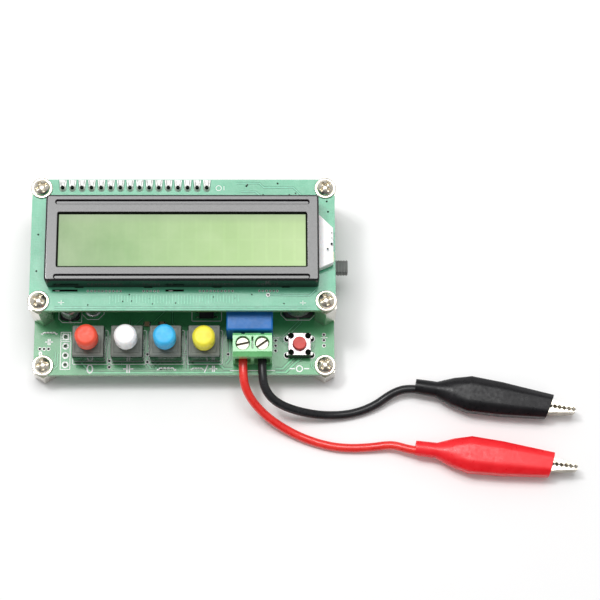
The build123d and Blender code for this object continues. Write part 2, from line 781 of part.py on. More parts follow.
def make_jaw(plane, side, half_width, bore_radius):
    """A jaw folded from sheet: a spine along its outer edge and two toothed cheeks."""
    with BuildPart() as jaw:
        with BuildSketch(plane):
            with BuildLine():
                Polyline(*jaw_outer(side), *jaw_inner(side), close=True)
            make_face()
            with Locations((pivot_u, 0)):
                Circle(bore_radius, mode=Mode.SUBTRACT)
        extrude(amount=half_width, both=True)
        hollow = [(u, v - side * jaw_sheet) for u, v in jaw_outer(side)]
        hollow[0] = (hollow[0][0] - 1.0, hollow[0][1] - side * 0.2)
        hollow[-1] = (jaw_tip_u - jaw_sheet, hollow[-1][1])
        with BuildSketch(plane):
            with BuildLine():
                Polyline(*hollow, (jaw_tip_u - jaw_sheet, -side * 3), (hollow[0][0], -side * 3), close=True)
            make_face()
        extrude(amount=half_width - jaw_sheet, both=True, mode=Mode.SUBTRACT)
    return jaw


# half width across the jaws and half thickness at points along the boot
boot_sections = ((5.5, 2.2, 2.2), (10.0, 3.9, 3.1), (14.5, 5.0, 3.5), (23.0, 4.6, 3.45), (boot_length, 3.3, 3.0))
boot_bevel = 0.42
cavity_bevel = 0.2


def octagon(half_width, half_thickness, bevel):
    """Corners of a rectangle whose corners are cut off by a share of its half sides."""
    bevel_w = half_width * bevel
    bevel_t = half_thickness * bevel
    quarter = [(half_width, half_thickness - bevel_t), (half_width - bevel_w, half_thickness)]
    upper = quarter + [(-w, t) for w, t in reversed(quarter)]
    return upper + [(-w, -t) for w, t in upper]


def boot_sketches(plane, inset, bevel):
    """Cross-sections of the boot, drawn in by an inset."""
    sketches = []
    for u, half_width, half_thickness in boot_sections:
        origin = plane.from_local_coords(Vector(u, 0, 0))
        with BuildSketch(Plane(origin=origin, x_dir=plane.y_dir, z_dir=plane.x_dir)) as section:
            with BuildLine():
                Polyline(*octagon(half_width - inset, half_thickness - inset, bevel), close=True)
            make_face()
        sketches.append(section.sketch)
    return sketches


def make_boot(colour, plane):
    """Hollow insulating boot: a round tail, a bulge over the handles, an open mouth."""
    tail_origin = plane.from_local_coords(Vector(0, 0, 0))
    bore_origin = plane.from_local_coords(Vector(-1, *lead_offset))
    with BuildPart() as boot:
        loft(boot_sketches(plane, 0, boot_bevel), ruled=True)
        with BuildSketch(Plane(origin=tail_origin, z_dir=plane.x_dir)):
            Circle(tail_outer_radius)
        extrude(amount=boot_sections[0][0] + 0.4)
        loft(boot_sketches(plane, boot_wall, cavity_bevel), ruled=True, mode=Mode.SUBTRACT)
        with BuildSketch(Plane(origin=bore_origin, z_dir=plane.x_dir)):
            Circle(lead_radius + 0.05)
        extrude(amount=boot_sections[0][0] + 2.5, mode=Mode.SUBTRACT)
    save(boot, f"{colour}_clip_boot")


def make_clip_spring(colour, plane):
    """Torsion spring: a coil about the pivot pin with a leg against each handle."""
    lean = 12
    pitch = 0.6
    turns = 2 + (180 - 2 * lean) / 360
    height = turns * pitch
    leg_length = 7.6
    start_dir = plane.from_local_coords(Vector(sin(radians(lean)), -cos(radians(lean)), 0))
    start_dir = start_dir - plane.from_local_coords(Vector(0, 0, 0))
    centre = plane.from_local_coords(Vector(pivot_u, 0, -height / 2))
    coil_plane = Plane(origin=centre, x_dir=start_dir, z_dir=(0, 0, 1))
    coil = coil_plane.from_local_coords(Helix(pitch, height, spring_radius))
    with BuildPart() as spring:
        with BuildSketch(Plane(origin=coil @ 0, z_dir=coil % 0)):
            Circle(spring_wire)
        sweep(path=coil, is_frenet=True)
        for end, tangent in ((coil @ 0, (coil % 0) * -1), (coil @ 1, coil % 1)):
            away = Vector(tangent.X, tangent.Y, 0).normalized()
            with BuildSketch(Plane(origin=end - away * 0.3, z_dir=away)):
                Circle(spring_wire * 0.97)
            extrude(amount=leg_length)
    save(spring, f"{colour}_clip_spring")


for colour in clip_places:
    plane = clip_plane(colour)
    fixed_jaw = make_jaw(plane, -1, fixed_half_width, pivot_radius)
    save(fixed_jaw, f"{colour}_clip_fixed_jaw")
    moving_jaw = make_jaw(plane, 1, moving_half_width, pivot_radius + 0.05)
    save(moving_jaw, f"{colour}_clip_moving_jaw")
    make_boot(colour, plane)
    make_clip_spring(colour, plane)

with BuildPart() as clip_pivot_pins:
    for colour in clip_places:
        pivot = clip_plane(colour).from_local_coords(Vector(pivot_u, 0, 0))
        rod(pivot.X, pivot.Y, span(clip_axis_z, 2 * fixed_half_width), pivot_radius)
        for low in (clip_axis_z - fixed_half_width - 0.3, clip_axis_z + fixed_half_width):
            rod(pivot.X, pivot.Y, (low, low + 0.3), pivot_radius + 0.4)
save(clip_pivot_pins, "clip_pivot_pins")

# ---------------------------------------------------------------- leads
lead_start_y = -21.2
lead_end_u = 2.9
tail_run = 4.5

# each route: straight out of the terminal, down to the table, along it and up to the boot
lead_routes = {
    "red": [
        (15.66, -25.6, 10.6),
        (16.2, -28.9, 9.6),
        (18.0, -32.0, 7.2),
        (21.3, -35.2, 4.6),
        (25.9, -38.2, 2.4),
        (31.8, -41.1, 1.3),
        (38.6, -43.2, 1.2),
        (44.4, -43.75, 1.2),
        (50.0, -43.5, 1.4),
        (55.4, -42.9, 2.4),
    ],
    "black": [
        (20.74, -25.9, 10.6),
        (21.4, -29.3, 9.9),
        (23.6, -32.1, 8.4),
        (27.3, -33.7, 6.2),
        (32.2, -34.6, 3.7),
        (38.0, -35.0, 1.9),
        (44.6, -34.5, 1.2),
        (50.7, -32.4, 1.5),
        (55.6, -28.9, 2.5),
    ],
}


def lead_points(colour):
    """A lead's route, from inside its terminal to inside its clip's tail."""
    plane = clip_plane(colour)
    end = plane.from_local_coords(Vector(lead_end_u, *lead_offset))
    approach = plane.from_local_coords(Vector(lead_end_u - tail_run, *lead_offset))
    start = Vector(terminal_x[colour], lead_start_y, wire_z)
    return [start] + [Vector(*point) for point in lead_routes[colour]] + [approach, end]


def corner_radii(points):
    """At each corner, the largest arc that leaves a tenth of the shorter run straight."""
    radii = []
    for before, corner, after in zip(points, points[1:], points[2:]):
        shorter = min((corner - before).length, (after - corner).length)
        turn = radians((corner - before).get_angle(after - corner))
        radii.append(0.45 * shorter / tan(turn / 2))
    return radii


for colour in clip_places:
    points = lead_points(colour)
    radii = corner_radii(points)
    print(colour, "lead radii", [round(radius, 1) for radius in radii])
    route = FilletPolyline(*points, radius=radii)
    with BuildPart() as lead:
        with BuildSketch(Plane(origin=route @ 0, z_dir=route % 0)):
            Circle(lead_radius)
        sweep(path=route)
    swept = route.length * pi * lead_radius**2
    print(colour, "lead length", round(route.length, 2), "volume ratio", round(lead.part.volume / swept, 4))
    save(lead, f"{colour}_lead")

# bare conductors: one clamped in each terminal, one lying along each clip's fixed handle
core_end_y = -17.9
with BuildPart() as lead_cores:
    for colour, x in terminal_x.items():
        with BuildSketch(Plane(origin=(x, lead_start_y, wire_z), z_dir=(0, 1, 0))):
            Circle(core_radius)
        extrude(amount=core_end_y - lead_start_y)
        plane = clip_plane(colour)
        bends = ((lead_end_u, *lead_offset), (6.0, *lead_offset), (11.0, -2.0, 0), (15.0, -2.75, 0))
        core_points = [plane.from_local_coords(Vector(*bend)) for bend in bends]
        with BuildLine() as core_line:
            FilletPolyline(*core_points, radius=2.5)
        with BuildSketch(Plane(origin=core_line.line @ 0, z_dir=core_line.line % 0)):
            Circle(core_radius)
        sweep(path=core_line.line)
save(lead_cores, "lead_cores")
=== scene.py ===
import random
from math import cos, hypot, pi, radians, sin

import bmesh
import bpy
from mathutils import Matrix, Vector


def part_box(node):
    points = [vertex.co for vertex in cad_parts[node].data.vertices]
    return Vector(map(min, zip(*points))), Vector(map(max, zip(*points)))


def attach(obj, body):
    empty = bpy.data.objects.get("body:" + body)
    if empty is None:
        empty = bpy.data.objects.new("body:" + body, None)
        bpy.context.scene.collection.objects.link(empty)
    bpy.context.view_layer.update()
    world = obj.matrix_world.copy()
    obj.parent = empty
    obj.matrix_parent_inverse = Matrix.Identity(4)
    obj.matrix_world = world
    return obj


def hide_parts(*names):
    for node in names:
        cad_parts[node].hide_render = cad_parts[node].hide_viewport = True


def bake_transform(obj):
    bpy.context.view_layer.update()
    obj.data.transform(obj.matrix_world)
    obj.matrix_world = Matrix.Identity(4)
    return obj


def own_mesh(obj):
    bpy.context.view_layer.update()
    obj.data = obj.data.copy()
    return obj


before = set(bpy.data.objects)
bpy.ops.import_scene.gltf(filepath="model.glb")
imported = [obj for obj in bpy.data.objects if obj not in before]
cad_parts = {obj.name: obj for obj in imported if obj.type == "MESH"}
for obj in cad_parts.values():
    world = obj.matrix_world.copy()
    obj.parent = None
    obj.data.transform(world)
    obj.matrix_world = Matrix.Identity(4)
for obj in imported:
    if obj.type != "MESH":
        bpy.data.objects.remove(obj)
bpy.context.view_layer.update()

# Looks for a bare-board LCR meter. Lengths in this script are millimetres in the frame's own
# axes, and MM turns them into metres when a mesh is written.
MM = 0.001


def span(node):
    """A CAD node's lowest and highest corners, in millimetres."""
    low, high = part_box(node)
    return Vector(low) / MM, Vector(high) / MM


def footprint(node):
    """A CAD node's corners, as span gives them, with its level centre and half sides."""
    low, high = span(node)
    centre = ((low.x + high.x) / 2, (low.y + high.y) / 2)
    return low, high, centre, ((high.x - low.x) / 2, (high.y - low.y) / 2)


MAIN_BOTTOM, MAIN_TOP = (corner.z for corner in span("main_board"))
LCD_BOTTOM, LCD_TOP = (corner.z for corner in span("lcd_board"))
SWITCHES = ("zero", "high_c", "high_l", "mode")
CAP_COLOURS = {"zero": "red", "high_c": "white", "high_l": "blue", "mode": "yellow"}
LEADS = ("red", "black")


# ------------------------------------------------------------------ materials
class Finish:
    """One procedural material: a principled shader and the nodes that feed it."""

    def __init__(self, name, **sockets):
        self.material = bpy.data.materials.new(name)
        self.material.use_nodes = True
        self.tree = self.material.node_tree
        self.shader = self.tree.nodes["Principled BSDF"]
        self.place = self.add("ShaderNodeTexCoord").outputs["Object"]
        for label, value in sockets.items():
            self.shader.inputs[label.replace("_", " ")].default_value = value

    def add(self, kind, inputs=None, **settings):
        """A node with its settings made and its inputs set or linked."""
        node = self.tree.nodes.new(kind)
        for key, value in settings.items():
            setattr(node, key, value)
        for key, value in (inputs or {}).items():
            if isinstance(value, bpy.types.NodeSocket):
                self.tree.links.new(value, node.inputs[key])
            else:
                node.inputs[key].default_value = value
        return node

    def feed(self, label, socket):
        """Link a socket to one of the shader's inputs."""
        self.tree.links.new(socket, self.shader.inputs[label])

    def scaled(self, stretch=(1, 1, 1)):
        """Coordinates in millimetres, stretched along the axes."""
        scale = [1 / MM * part for part in stretch]
        return self.add("ShaderNodeMapping", {"Vector": self.place, "Scale": scale}).outputs[0]

    def noise(self, scale, detail=2.0, stretch=(1, 1, 1), roughness=0.5):
        """Noise with about `scale` features per millimetre."""
        where = self.scaled(stretch)
        inputs = {"Vector": where, "Scale": scale, "Detail": detail, "Roughness": roughness}
        return self.add("ShaderNodeTexNoise", inputs).outputs["Fac"]

    def ramp(self, fac, *stops):
        """A colour ramp through (position, colour) stops."""
        node = self.add("ShaderNodeValToRGB", {"Fac": fac})
        elements = node.color_ramp.elements
        while len(elements) < len(stops):
            elements.new(0.5)
        for element, (position, colour) in zip(elements, stops):
            element.position = position
            element.color = rgba(colour)
        return node.outputs["Color"]

    def paint(self, fac, *stops):
        """A base colour that follows fac through (position, colour) stops."""
        self.feed("Base Color", self.ramp(fac, *stops))

    def spread(self, fac, low, high, start=0.3, end=0.7):
        """A number that runs from low to high as fac runs from start to end."""
        inputs = {"Value": fac, "From Min": start, "From Max": end, "To Min": low, "To Max": high}
        return self.add("ShaderNodeMapRange", inputs).outputs["Result"]

    def mix(self, fac, first, second, blend="MIX"):
        """Two colours mixed by fac."""
        node = self.add("ShaderNodeMix", data_type="RGBA", blend_type=blend)
        for index, value in ((0, fac), (6, first), (7, second)):
            if isinstance(value, bpy.types.NodeSocket):
                self.tree.links.new(value, node.inputs[index])
            else:
                node.inputs[index].default_value = value if index == 0 else rgba(value)
        return node.outputs[2]

    def math(self, operation, first, second=0.0):
        """A sum, product or comparison of two values."""
        node = self.add("ShaderNodeMath", {0: first, 1: second}, operation=operation)
        return node.outputs[0]

    def bump(self, height, depth, strength):
        """Raise the surface by up to depth millimetres."""
        inputs = {"Height": height, "Distance": depth * MM, "Strength": strength}
        self.feed("Normal", self.add("ShaderNodeBump", inputs).outputs["Normal"])

    def axis(self, which):
        """One coordinate, in millimetres."""
        split = self.add("ShaderNodeSeparateXYZ", {0: self.scaled()})
        return split.outputs["XYZ".index(which)]

    def facing_up(self):
        """1 where the surface is level, 0 where it is upright."""
        normal = self.add("ShaderNodeNewGeometry").outputs["Normal"]
        height = self.add("ShaderNodeSeparateXYZ", {0: normal}).outputs["Z"]
        return self.math("GREATER_THAN", self.math("ABSOLUTE", height), 0.6)


def linear(value):
    """One sRGB channel, 0 to 255, as linear light."""
    part = value / 255
    return part / 12.92 if part <= 0.04045 else ((part + 0.055) / 1.055) ** 2.4


def rgba(colour):
    """An sRGB colour of three 0 to 255 channels as linear RGBA."""
    return (*[linear(channel) for channel in colour[:3]], 1.0)


def shade(colour, factor):
    """A darker or lighter version of an sRGB colour."""
    return tuple(min(255, channel * factor) for channel in colour)


def board_finish(name, dark, light):
    """Green solder mask over glass cloth; the upright cut edges are painted darker green as painted shade."""
    f = Finish(name, Roughness=0.5, Coat_Weight=0.85, Coat_Roughness=0.16, IOR=1.45)
    clouds = f.noise(0.08, 3.0)
    grain = f.noise(2.4, 2.0)
    mask = f.ramp(clouds, (0.3, dark), (0.7, light))
    mask = f.mix(f.spread(grain, 0.0, 0.22), mask, shade(light, 1.18))
    # painted shade: every upright face, such as the cut edges, takes darker greens with glass-fibre streaks
    fibres = f.noise(3.0, 2.0, (1, 1, 0.25))
    edge = f.ramp(fibres, (0.35, (92, 142, 100)), (0.65, (136, 178, 130)))
    f.feed("Base Color", f.mix(f.facing_up(), edge, mask))
    f.feed("Roughness", f.spread(f.noise(0.5, 3.0), 0.4, 0.6))
    threads = {"Vector": f.scaled(), "Scale": 0.42}
    warp, weft = (f.add("ShaderNodeTexWave", threads, bands_direction=axis).outputs["Fac"] for axis in "XY")
    f.bump(f.math("ADD", warp, weft), 0.008, 0.5)
    return f.material


def trace_finish(name, colour):
    """Solder mask over a copper track, or over the cleared gap beside it."""
    f = Finish(name, Roughness=0.3, Coat_Weight=0.1, Coat_Roughness=0.12)
    f.paint(f.noise(0.8, 3.0), (0.3, shade(colour, 0.92)), (0.7, shade(colour, 1.06)))
    f.bump(f.noise(5.0), 0.006, 0.4)
    return f.material


def paint_finish(name, colour):
    """Silkscreen ink, slightly thin in places."""
    f = Finish(name, Roughness=0.45)
    f.paint(f.noise(6.0, 4.0), (0.3, shade(colour, 0.92)), (0.55, colour))
    f.bump(f.noise(9.0), 0.01, 0.5)
    return f.material


def moulded_finish(
    name, colour, rough=0.4, grain=0.012, coat=0.0, mottle=0.06, transmit=0.0, shine=0.5
):
    """Moulded plastic: faint flow mottling, a fine grain and uneven gloss."""
    f = Finish(name, Roughness=rough, Coat_Weight=coat, Coat_Roughness=0.08, IOR=1.5)
    f.shader.inputs["Specular IOR Level"].default_value = shine
    f.shader.inputs["Subsurface Weight"].default_value = transmit
    f.shader.inputs["Subsurface Radius"].default_value = (0.002, 0.001, 0.0008)
    flow = f.noise(0.35, 4.0, (1, 1, 0.4))
    f.paint(flow, (0.3, shade(colour, 1 - mottle)), (0.7, shade(colour, 1 + mottle)))
    f.feed("Roughness", f.spread(f.noise(1.3, 3.0), rough * 0.8, rough * 1.2))
    f.bump(f.noise(7.0, 3.0), grain, 0.6)
    return f.material


def metal_finish(name, colour, rough=0.2, stretch=(1, 1, 1), scratch=0.01, tint=(120, 104, 84)):
    """Plated or brushed metal with fine scratches and a little tarnish."""
    f = Finish(name, Metallic=1.0, Roughness=rough)
    stain = f.noise(0.7, 4.0)
    f.paint(stain, (0.25, tint), (0.5, shade(colour, 0.94)), (0.75, colour))
    lines = f.noise(6.0, 4.0, stretch)
    f.feed("Roughness", f.spread(lines, rough * 0.6, rough * 1.5))
    f.bump(lines, scratch, 0.5)
    return f.material


def solder_finish(name, colour, rough=0.22, metal=1.0):
    """Solder: bright, with a lumpy skin."""
    f = Finish(name, Metallic=metal, Roughness=rough)
    f.paint(f.noise(1.2, 3.0), (0.3, shade(colour, 0.75)), (0.7, colour))
    f.feed("Roughness", f.spread(f.noise(3.0), rough * 0.7, rough * 1.6))
    f.bump(f.noise(1.6, 3.0), 0.05, 0.6)
    return f.material


def vinyl_finish(name, dark, light, rough=0.16, gloss=0.45, depth=0.08, shine=0.5):
    """Soft vinyl: slightly uneven skin, faint depth of colour."""
    f = Finish(name, Roughness=rough, Coat_Weight=gloss, Coat_Roughness=0.1, IOR=1.5)
    f.shader.inputs["Specular IOR Level"].default_value = shine
    f.shader.inputs["Subsurface Weight"].default_value = depth
    f.shader.inputs["Subsurface Radius"].default_value = (0.0015, 0.0005, 0.0004)
    f.paint(f.noise(0.25, 4.0), (0.3, dark), (0.7, light))
    f.feed("Roughness", f.spread(f.noise(1.0, 4.0), rough * 0.75, rough * 1.5))
    f.bump(f.noise(0.9, 3.0), 0.05, 0.35)
    return f.material


def two_tone_finish(name, colour, dark, test, level):
    """Tinned metal with a dark, non-metallic part above or below a height; on the terminal screws the part
    below the top face is painted shade in the slot and the well.
    """
    f = Finish(name, Roughness=0.3)
    stained = f.ramp(f.noise(1.5, 3.0), (0.3, shade(colour, 0.85)), (0.7, colour))
    # the dark part: painted shade below a terminal screw's top face, and the dark tips of the header pins
    dark_part = f.math(test, f.axis("Z"), level)
    f.feed("Base Color", f.mix(dark_part, stained, dark))
    f.feed("Metallic", f.spread(dark_part, 0.3, 0.0))
    f.feed("Specular IOR Level", f.spread(dark_part, 0.5, 0.05))
    f.feed("Roughness", f.spread(f.noise(3.0), 0.2, 0.45))
    f.bump(f.noise(6.0), 0.01, 0.5)
    return f.material


def glass_finish(name):
    """Yellow-green display with a painted reflection that makes it paler to the right, painted shade along its
    top and round the window's edge, and faint character cells.
    """
    low, high = span("lcd_glass")
    f = Finish(name, Roughness=0.3, IOR=1.45)
    # painted reflection of the lamp above: darker at the left, paler to the right and pulled towards a middle
    # green nearer the top
    across = f.spread(f.axis("X"), 0.0, 1.0, low.x, high.x)
    left, right = (104, 140, 82), (172, 204, 134)
    field = f.ramp(across, (0.0, left), (0.3, (122, 164, 94)), (0.62, (150, 188, 114)), (1.0, right))
    up = f.spread(f.axis("Y"), 0.0, 1.0, low.y, high.y)
    field = f.mix(f.spread(up, 0.0, 0.35, 0.25, 1.0), field, (128, 160, 92))
    aside = f.math("ABSOLUTE", f.axis("X"))
    above = f.math("ADD", f.axis("Y"), -WINDOW_CENTRE[1])
    # painted shade of the bezel on the top 3 mm, and a dark band of painted shade round the window's edge,
    # narrowest at its foot
    field = f.mix(f.spread(above, 0.0, 0.5, WINDOW_HALF[1] - 3.0, WINDOW_HALF[1]), field, (112, 124, 100))
    near_side = f.spread(aside, 0.0, 1.0, WINDOW_HALF[0] - 0.4, WINDOW_HALF[0] - 0.2)
    near_top = f.spread(above, 0.0, 1.0, WINDOW_HALF[1] - 0.5, WINDOW_HALF[1] - 0.3)
    near_foot = f.spread(above, 1.0, 0.0, 0.1 - WINDOW_HALF[1], 0.3 - WINDOW_HALF[1])
    window_edge_shade = f.math("MAXIMUM", near_side, f.math("MAXIMUM", near_top, near_foot))
    # two rows of character cells
    cell_x = f.math("PINGPONG", f.math("DIVIDE", f.axis("X"), CELL_WIDTH), 0.5)
    cell_y = f.math("PINGPONG", f.math("DIVIDE", above, CELL_HEIGHT), 0.5)
    inside = f.math("MULTIPLY", f.math("GREATER_THAN", cell_x, 0.09), f.math("GREATER_THAN", cell_y, 0.04))
    in_rows = f.math("LESS_THAN", f.math("ABSOLUTE", above), CELL_HEIGHT - 0.1)
    field = f.mix(f.math("MULTIPLY", f.math("MULTIPLY", inside, in_rows), 0.05), field, (96, 118, 70))
    field = f.mix(f.spread(f.noise(0.12, 3.0), 0.0, 0.12), field, (226, 240, 196))
    # the dark band round the window's edge is painted shade under the bezel's rolled edge, black and without
    # gloss
    f.feed("Base Color", f.mix(window_edge_shade, field, (8, 10, 8)))
    f.feed("Specular IOR Level", f.spread(window_edge_shade, 0.5, 0.0))
    f.bump(f.noise(0.6, 2.0), 0.01, 0.15)
    return f.material


def can_finish(name):
    """The bright brushed aluminium of a capacitor can."""
    f = Finish(name, Metallic=0.9, Roughness=0.3)
    f.paint(f.noise(5.0, 3.0, (1, 1, 0.2)), (0.3, (168, 170, 172)), (0.7, (226, 226, 224)))
    f.feed("Roughness", f.spread(f.noise(2.0), 0.22, 0.42))
    f.bump(f.noise(7.0), 0.008, 0.5)
    return f.material


def worn_finish(name, base, edge, rough=0.35):
    """Black painted steel, a little greyer and glossier where it is rubbed."""
    f = Finish(name, Roughness=rough, Coat_Roughness=0.12)
    f.feed("Coat Weight", f.spread(f.facing_up(), 0.0, 0.72))
    f.feed("Specular IOR Level", f.spread(f.facing_up(), 0.2, 0.5))
    scuffs = f.noise(0.5, 6.0, (0.25, 1, 1), 0.65)
    f.paint(scuffs, (0.42, base), (0.75, edge))
    f.feed("Roughness", f.spread(f.noise(1.4, 4.0), rough * 0.75, rough * 1.3))
    f.bump(f.noise(8.0, 3.0), 0.004, 0.5)
    return f.material


def make_finishes():
    """Every material of the object, by name."""
    screw_top = span("red_terminal_screw")[1].z
    white, pin_grey, slot_grey = (254, 254, 254), (236, 238, 232), (236, 230, 214)
    screw_tint, pin_foot = (206, 196, 174), LCD_TOP + 0.75
    return {
        "board": board_finish("main_board_mask", (50, 142, 84), (68, 166, 102)),
        "lcd_board": board_finish("display_board_mask", (60, 158, 118), (78, 176, 136)),
        "trace": trace_finish("main_board_trace", (104, 200, 142)),
        "gap": trace_finish("main_board_gap", (22, 92, 52)),
        "lcd_trace": trace_finish("display_board_trace", (106, 196, 160)),
        "lcd_gap": trace_finish("display_board_gap", (30, 112, 84)),
        "ink": paint_finish("silkscreen", (252, 254, 252)),
        "pad": solder_finish("tinned_pad", (254, 255, 252), 0.45, 0.15),
        "hole": moulded_finish("drilled_hole", (10, 16, 12), 0.8, shine=0.05),
        "ceramic": moulded_finish("ceramic", (178, 150, 112), 0.5),
        "land": moulded_finish("pale_land", (252, 250, 196), 0.4, 0.01),
        "bezel": worn_finish("bezel_paint", (9, 9, 10), (20, 20, 23), 0.2),
        "glass": glass_finish("display_glass"),
        "black_plastic": moulded_finish("black_plastic", (34, 35, 37), 0.42),
        "switch_body": moulded_finish("switch_body", (30, 32, 32), 0.2, 0.006, coat=0.4),
        # painted sheen: the switch housings' level tops get this lighter grey copy of their black plastic
        "switch_top": moulded_finish("switch_top", (102, 108, 100), 0.5, 0.02),
        "chip": moulded_finish("chip_epoxy", (36, 37, 40), 0.55, 0.03),
        "white_plastic": moulded_finish("white_plastic", white, 0.5, 0.006, mottle=0.02, transmit=0.1),
        "red_plastic": moulded_finish("red_plastic", (242, 84, 58), 0.5, 0.006),
        "blue_plastic": moulded_finish("blue_plastic", (62, 188, 245), 0.5, 0.006),
        "yellow_plastic": moulded_finish("yellow_plastic", (252, 234, 64), 0.5, 0.006),
        "tact_red": moulded_finish("tact_red", (206, 70, 66), 0.5, 0.01),
        "green_plastic": moulded_finish("green_plastic", (122, 202, 132), 0.3, 0.008, coat=1.0),
        "relay_blue": moulded_finish("relay_blue", (4, 104, 180), 0.4, 0.01, shine=0.4),
        "knob": moulded_finish("knob_plastic", (112, 114, 112), 0.5, 0.025),
        "nickel": metal_finish("nickel", (238, 234, 226), 0.24, tint=(214, 208, 198)),
        "screw_nickel": metal_finish("screw_nickel", (250, 244, 230), 0.28, scratch=0.008, tint=screw_tint),
        "jaw_nickel": metal_finish("jaw_nickel", (226, 220, 206), 0.3, tint=(150, 142, 126)),
        "plate": metal_finish("cover_plate", (216, 204, 208), 0.42, tint=(190, 178, 182)),
        "pin": two_tone_finish("header_pin", pin_grey, (12, 14, 14), "GREATER_THAN", pin_foot),
        # painted shade: the terminal screws turn dark grey-brown below their top face, in the slot and the
        # well
        "slot_shaded_screw": two_tone_finish("terminal_screw", slot_grey, (112, 104, 90), "LESS_THAN", screw_top - 0.2),
        "steel": metal_finish("bright_steel", (222, 222, 224), 0.26, (0.15, 1, 1), 0.012, (190, 190, 192)),
        "spring": metal_finish("spring_wire", (176, 178, 184), 0.28, (1, 1, 0.2), tint=(150, 150, 154)),
        "solder": solder_finish("solder", (222, 222, 216)),
        "can": can_finish("capacitor_can"),
        "copper": metal_finish("copper_strands", (224, 150, 104), 0.3),
        "red_vinyl": vinyl_finish("red_vinyl", (240, 18, 30), (254, 34, 44), 0.34, 0.1, 0.15),
        "black_vinyl": vinyl_finish("black_vinyl", (20, 20, 22), (30, 29, 32), 0.3, 0.0, 0.0, 0.26),
        "red_wire": vinyl_finish("red_lead_vinyl", (234, 36, 30), (246, 54, 44), 0.3),
        "black_wire": vinyl_finish("black_lead_vinyl", (26, 26, 28), (38, 38, 41), 0.3, 0.1, 0.0, 0.3),
        "rubber": moulded_finish("zebra_rubber", (46, 46, 50), 0.7, 0.02),
    }


# ------------------------------------------------------------------ mesh tools
def free_piece(name, bm, materials, sharp=35):
    """Turn a bmesh in millimetres into a smooth mesh object that rides on nothing yet."""
    bmesh.ops.remove_doubles(bm, verts=bm.verts, dist=1e-4)
    bmesh.ops.recalc_face_normals(bm, faces=bm.faces)
    bmesh.ops.scale(bm, vec=(MM, MM, MM), verts=bm.verts)
    mesh = bpy.data.meshes.new(name)
    bm.to_mesh(mesh)
    bm.free()
    for material in materials if isinstance(materials, list) else [materials]:
        mesh.materials.append(material)
    mesh.polygons.foreach_set("use_smooth", [True] * len(mesh.polygons))
    mesh.set_sharp_from_angle(angle=radians(sharp))
    made = bpy.data.objects.new(name, mesh)
    bpy.context.scene.collection.objects.link(made)
    return made


def piece(name, bm, materials, body="root", slot=None, instead_of=(), sharp=35):
    """A mesh that rides on a body and may stand for CAD nodes."""
    made = free_piece(name, bm, materials, sharp)
    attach(made, body)
    if instead_of:
        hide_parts(*instead_of)
    return made


def loop(bm, points):
    """Vertices of one closed loop."""
    return [bm.verts.new(point) for point in points]


def bridge(bm, first, second, index=0):
    """Quads between two loops of equal length."""
    count = len(first)
    for i in range(count):
        j = (i + 1) % count
        bm.faces.new((first[i], first[j], second[j], second[i])).material_index = index


def fill(bm, ring, index=0):
    """A fan that closes a loop at its centre."""
    centre = sum((v.co for v in ring), Vector()) / len(ring)
    hub = bm.verts.new(centre)
    for i, vert in enumerate(ring):
        bm.faces.new((vert, ring[(i + 1) % len(ring)], hub)).material_index = index


def skin(bm, loops, index=0, closed=False):
    """Quads over a series of loops, with one material index or a list of one for each step."""
    rings = [loop(bm, points) for points in loops]
    for i, ring in enumerate(rings if closed else rings[:-1]):
        bridge(bm, ring, rings[(i + 1) % len(rings)], index[i] if isinstance(index, list) else index)
    return rings


def nest(bm, loops, index=0):
    """A skin whose ends are closed by fans."""
    rings = skin(bm, loops, index)
    fill(bm, rings[0], index[0] if isinstance(index, list) else index)
    fill(bm, rings[-1], index[-1] if isinstance(index, list) else index)


def close_ends(bm, rings, index=0):
    """One flat face over each end of a skin."""
    for ring in (rings[0][::-1], rings[-1]):
        bm.faces.new(ring).material_index = index


def prism(bm, outline, z, height, index=0):
    """A level plate of an outline's shape."""
    loops = [[(x, y, level) for x, y, *_ in outline] for level in (z, z + height)]
    close_ends(bm, skin(bm, loops, index), index)


def rim(bm, ring):
    """The edges of a closed loop."""
    pairs = zip(ring, ring[1:] + ring[:1])
    return [bm.edges.get(pair) or bm.edges.new(pair) for pair in pairs]


def disc(bm, centre, radius, z, height=0.01, count=20):
    """A thin level disc."""
    prism(bm, circle(centre, radius, z, count), z, height)


def circle(centre, radius, z, count=48):
    """Points of a level circle."""
    angles = [2 * pi * i / count for i in range(count)]
    return [(centre[0] + radius * cos(angle), centre[1] + radius * sin(angle), z) for angle in angles]


def rounded(centre, half, corner, z, steps=6):
    """Points of a level rounded rectangle with half sides (x, y)."""
    half_x, half_y = (half, half) if isinstance(half, (int, float)) else half
    corner = min(corner, half_x, half_y)
    points = []
    for quarter in range(4):
        cx = (half_x - corner) * (1, -1, -1, 1)[quarter]
        cy = (half_y - corner) * (1, 1, -1, -1)[quarter]
        for step in range(steps + 1):
            angle = quarter * pi / 2 + pi / 2 * step / steps
            x = centre[0] + cx + corner * cos(angle)
            y = centre[1] + cy + corner * sin(angle)
            points.append((x, y, z))
    return points


def lathe(bm, profile, centre, count=48):
    """Turn (radius, z) points about an upright axis and close both ends."""
    nest(bm, [circle(centre, radius, z, count) for radius, z in profile])


def slab(bm, low, high, index=0):
    """An upright box from corner to corner."""
    corners = [(low[0], low[1]), (high[0], low[1]), (high[0], high[1]), (low[0], high[1])]
    prism(bm, corners, low[2], high[2] - low[2], index)


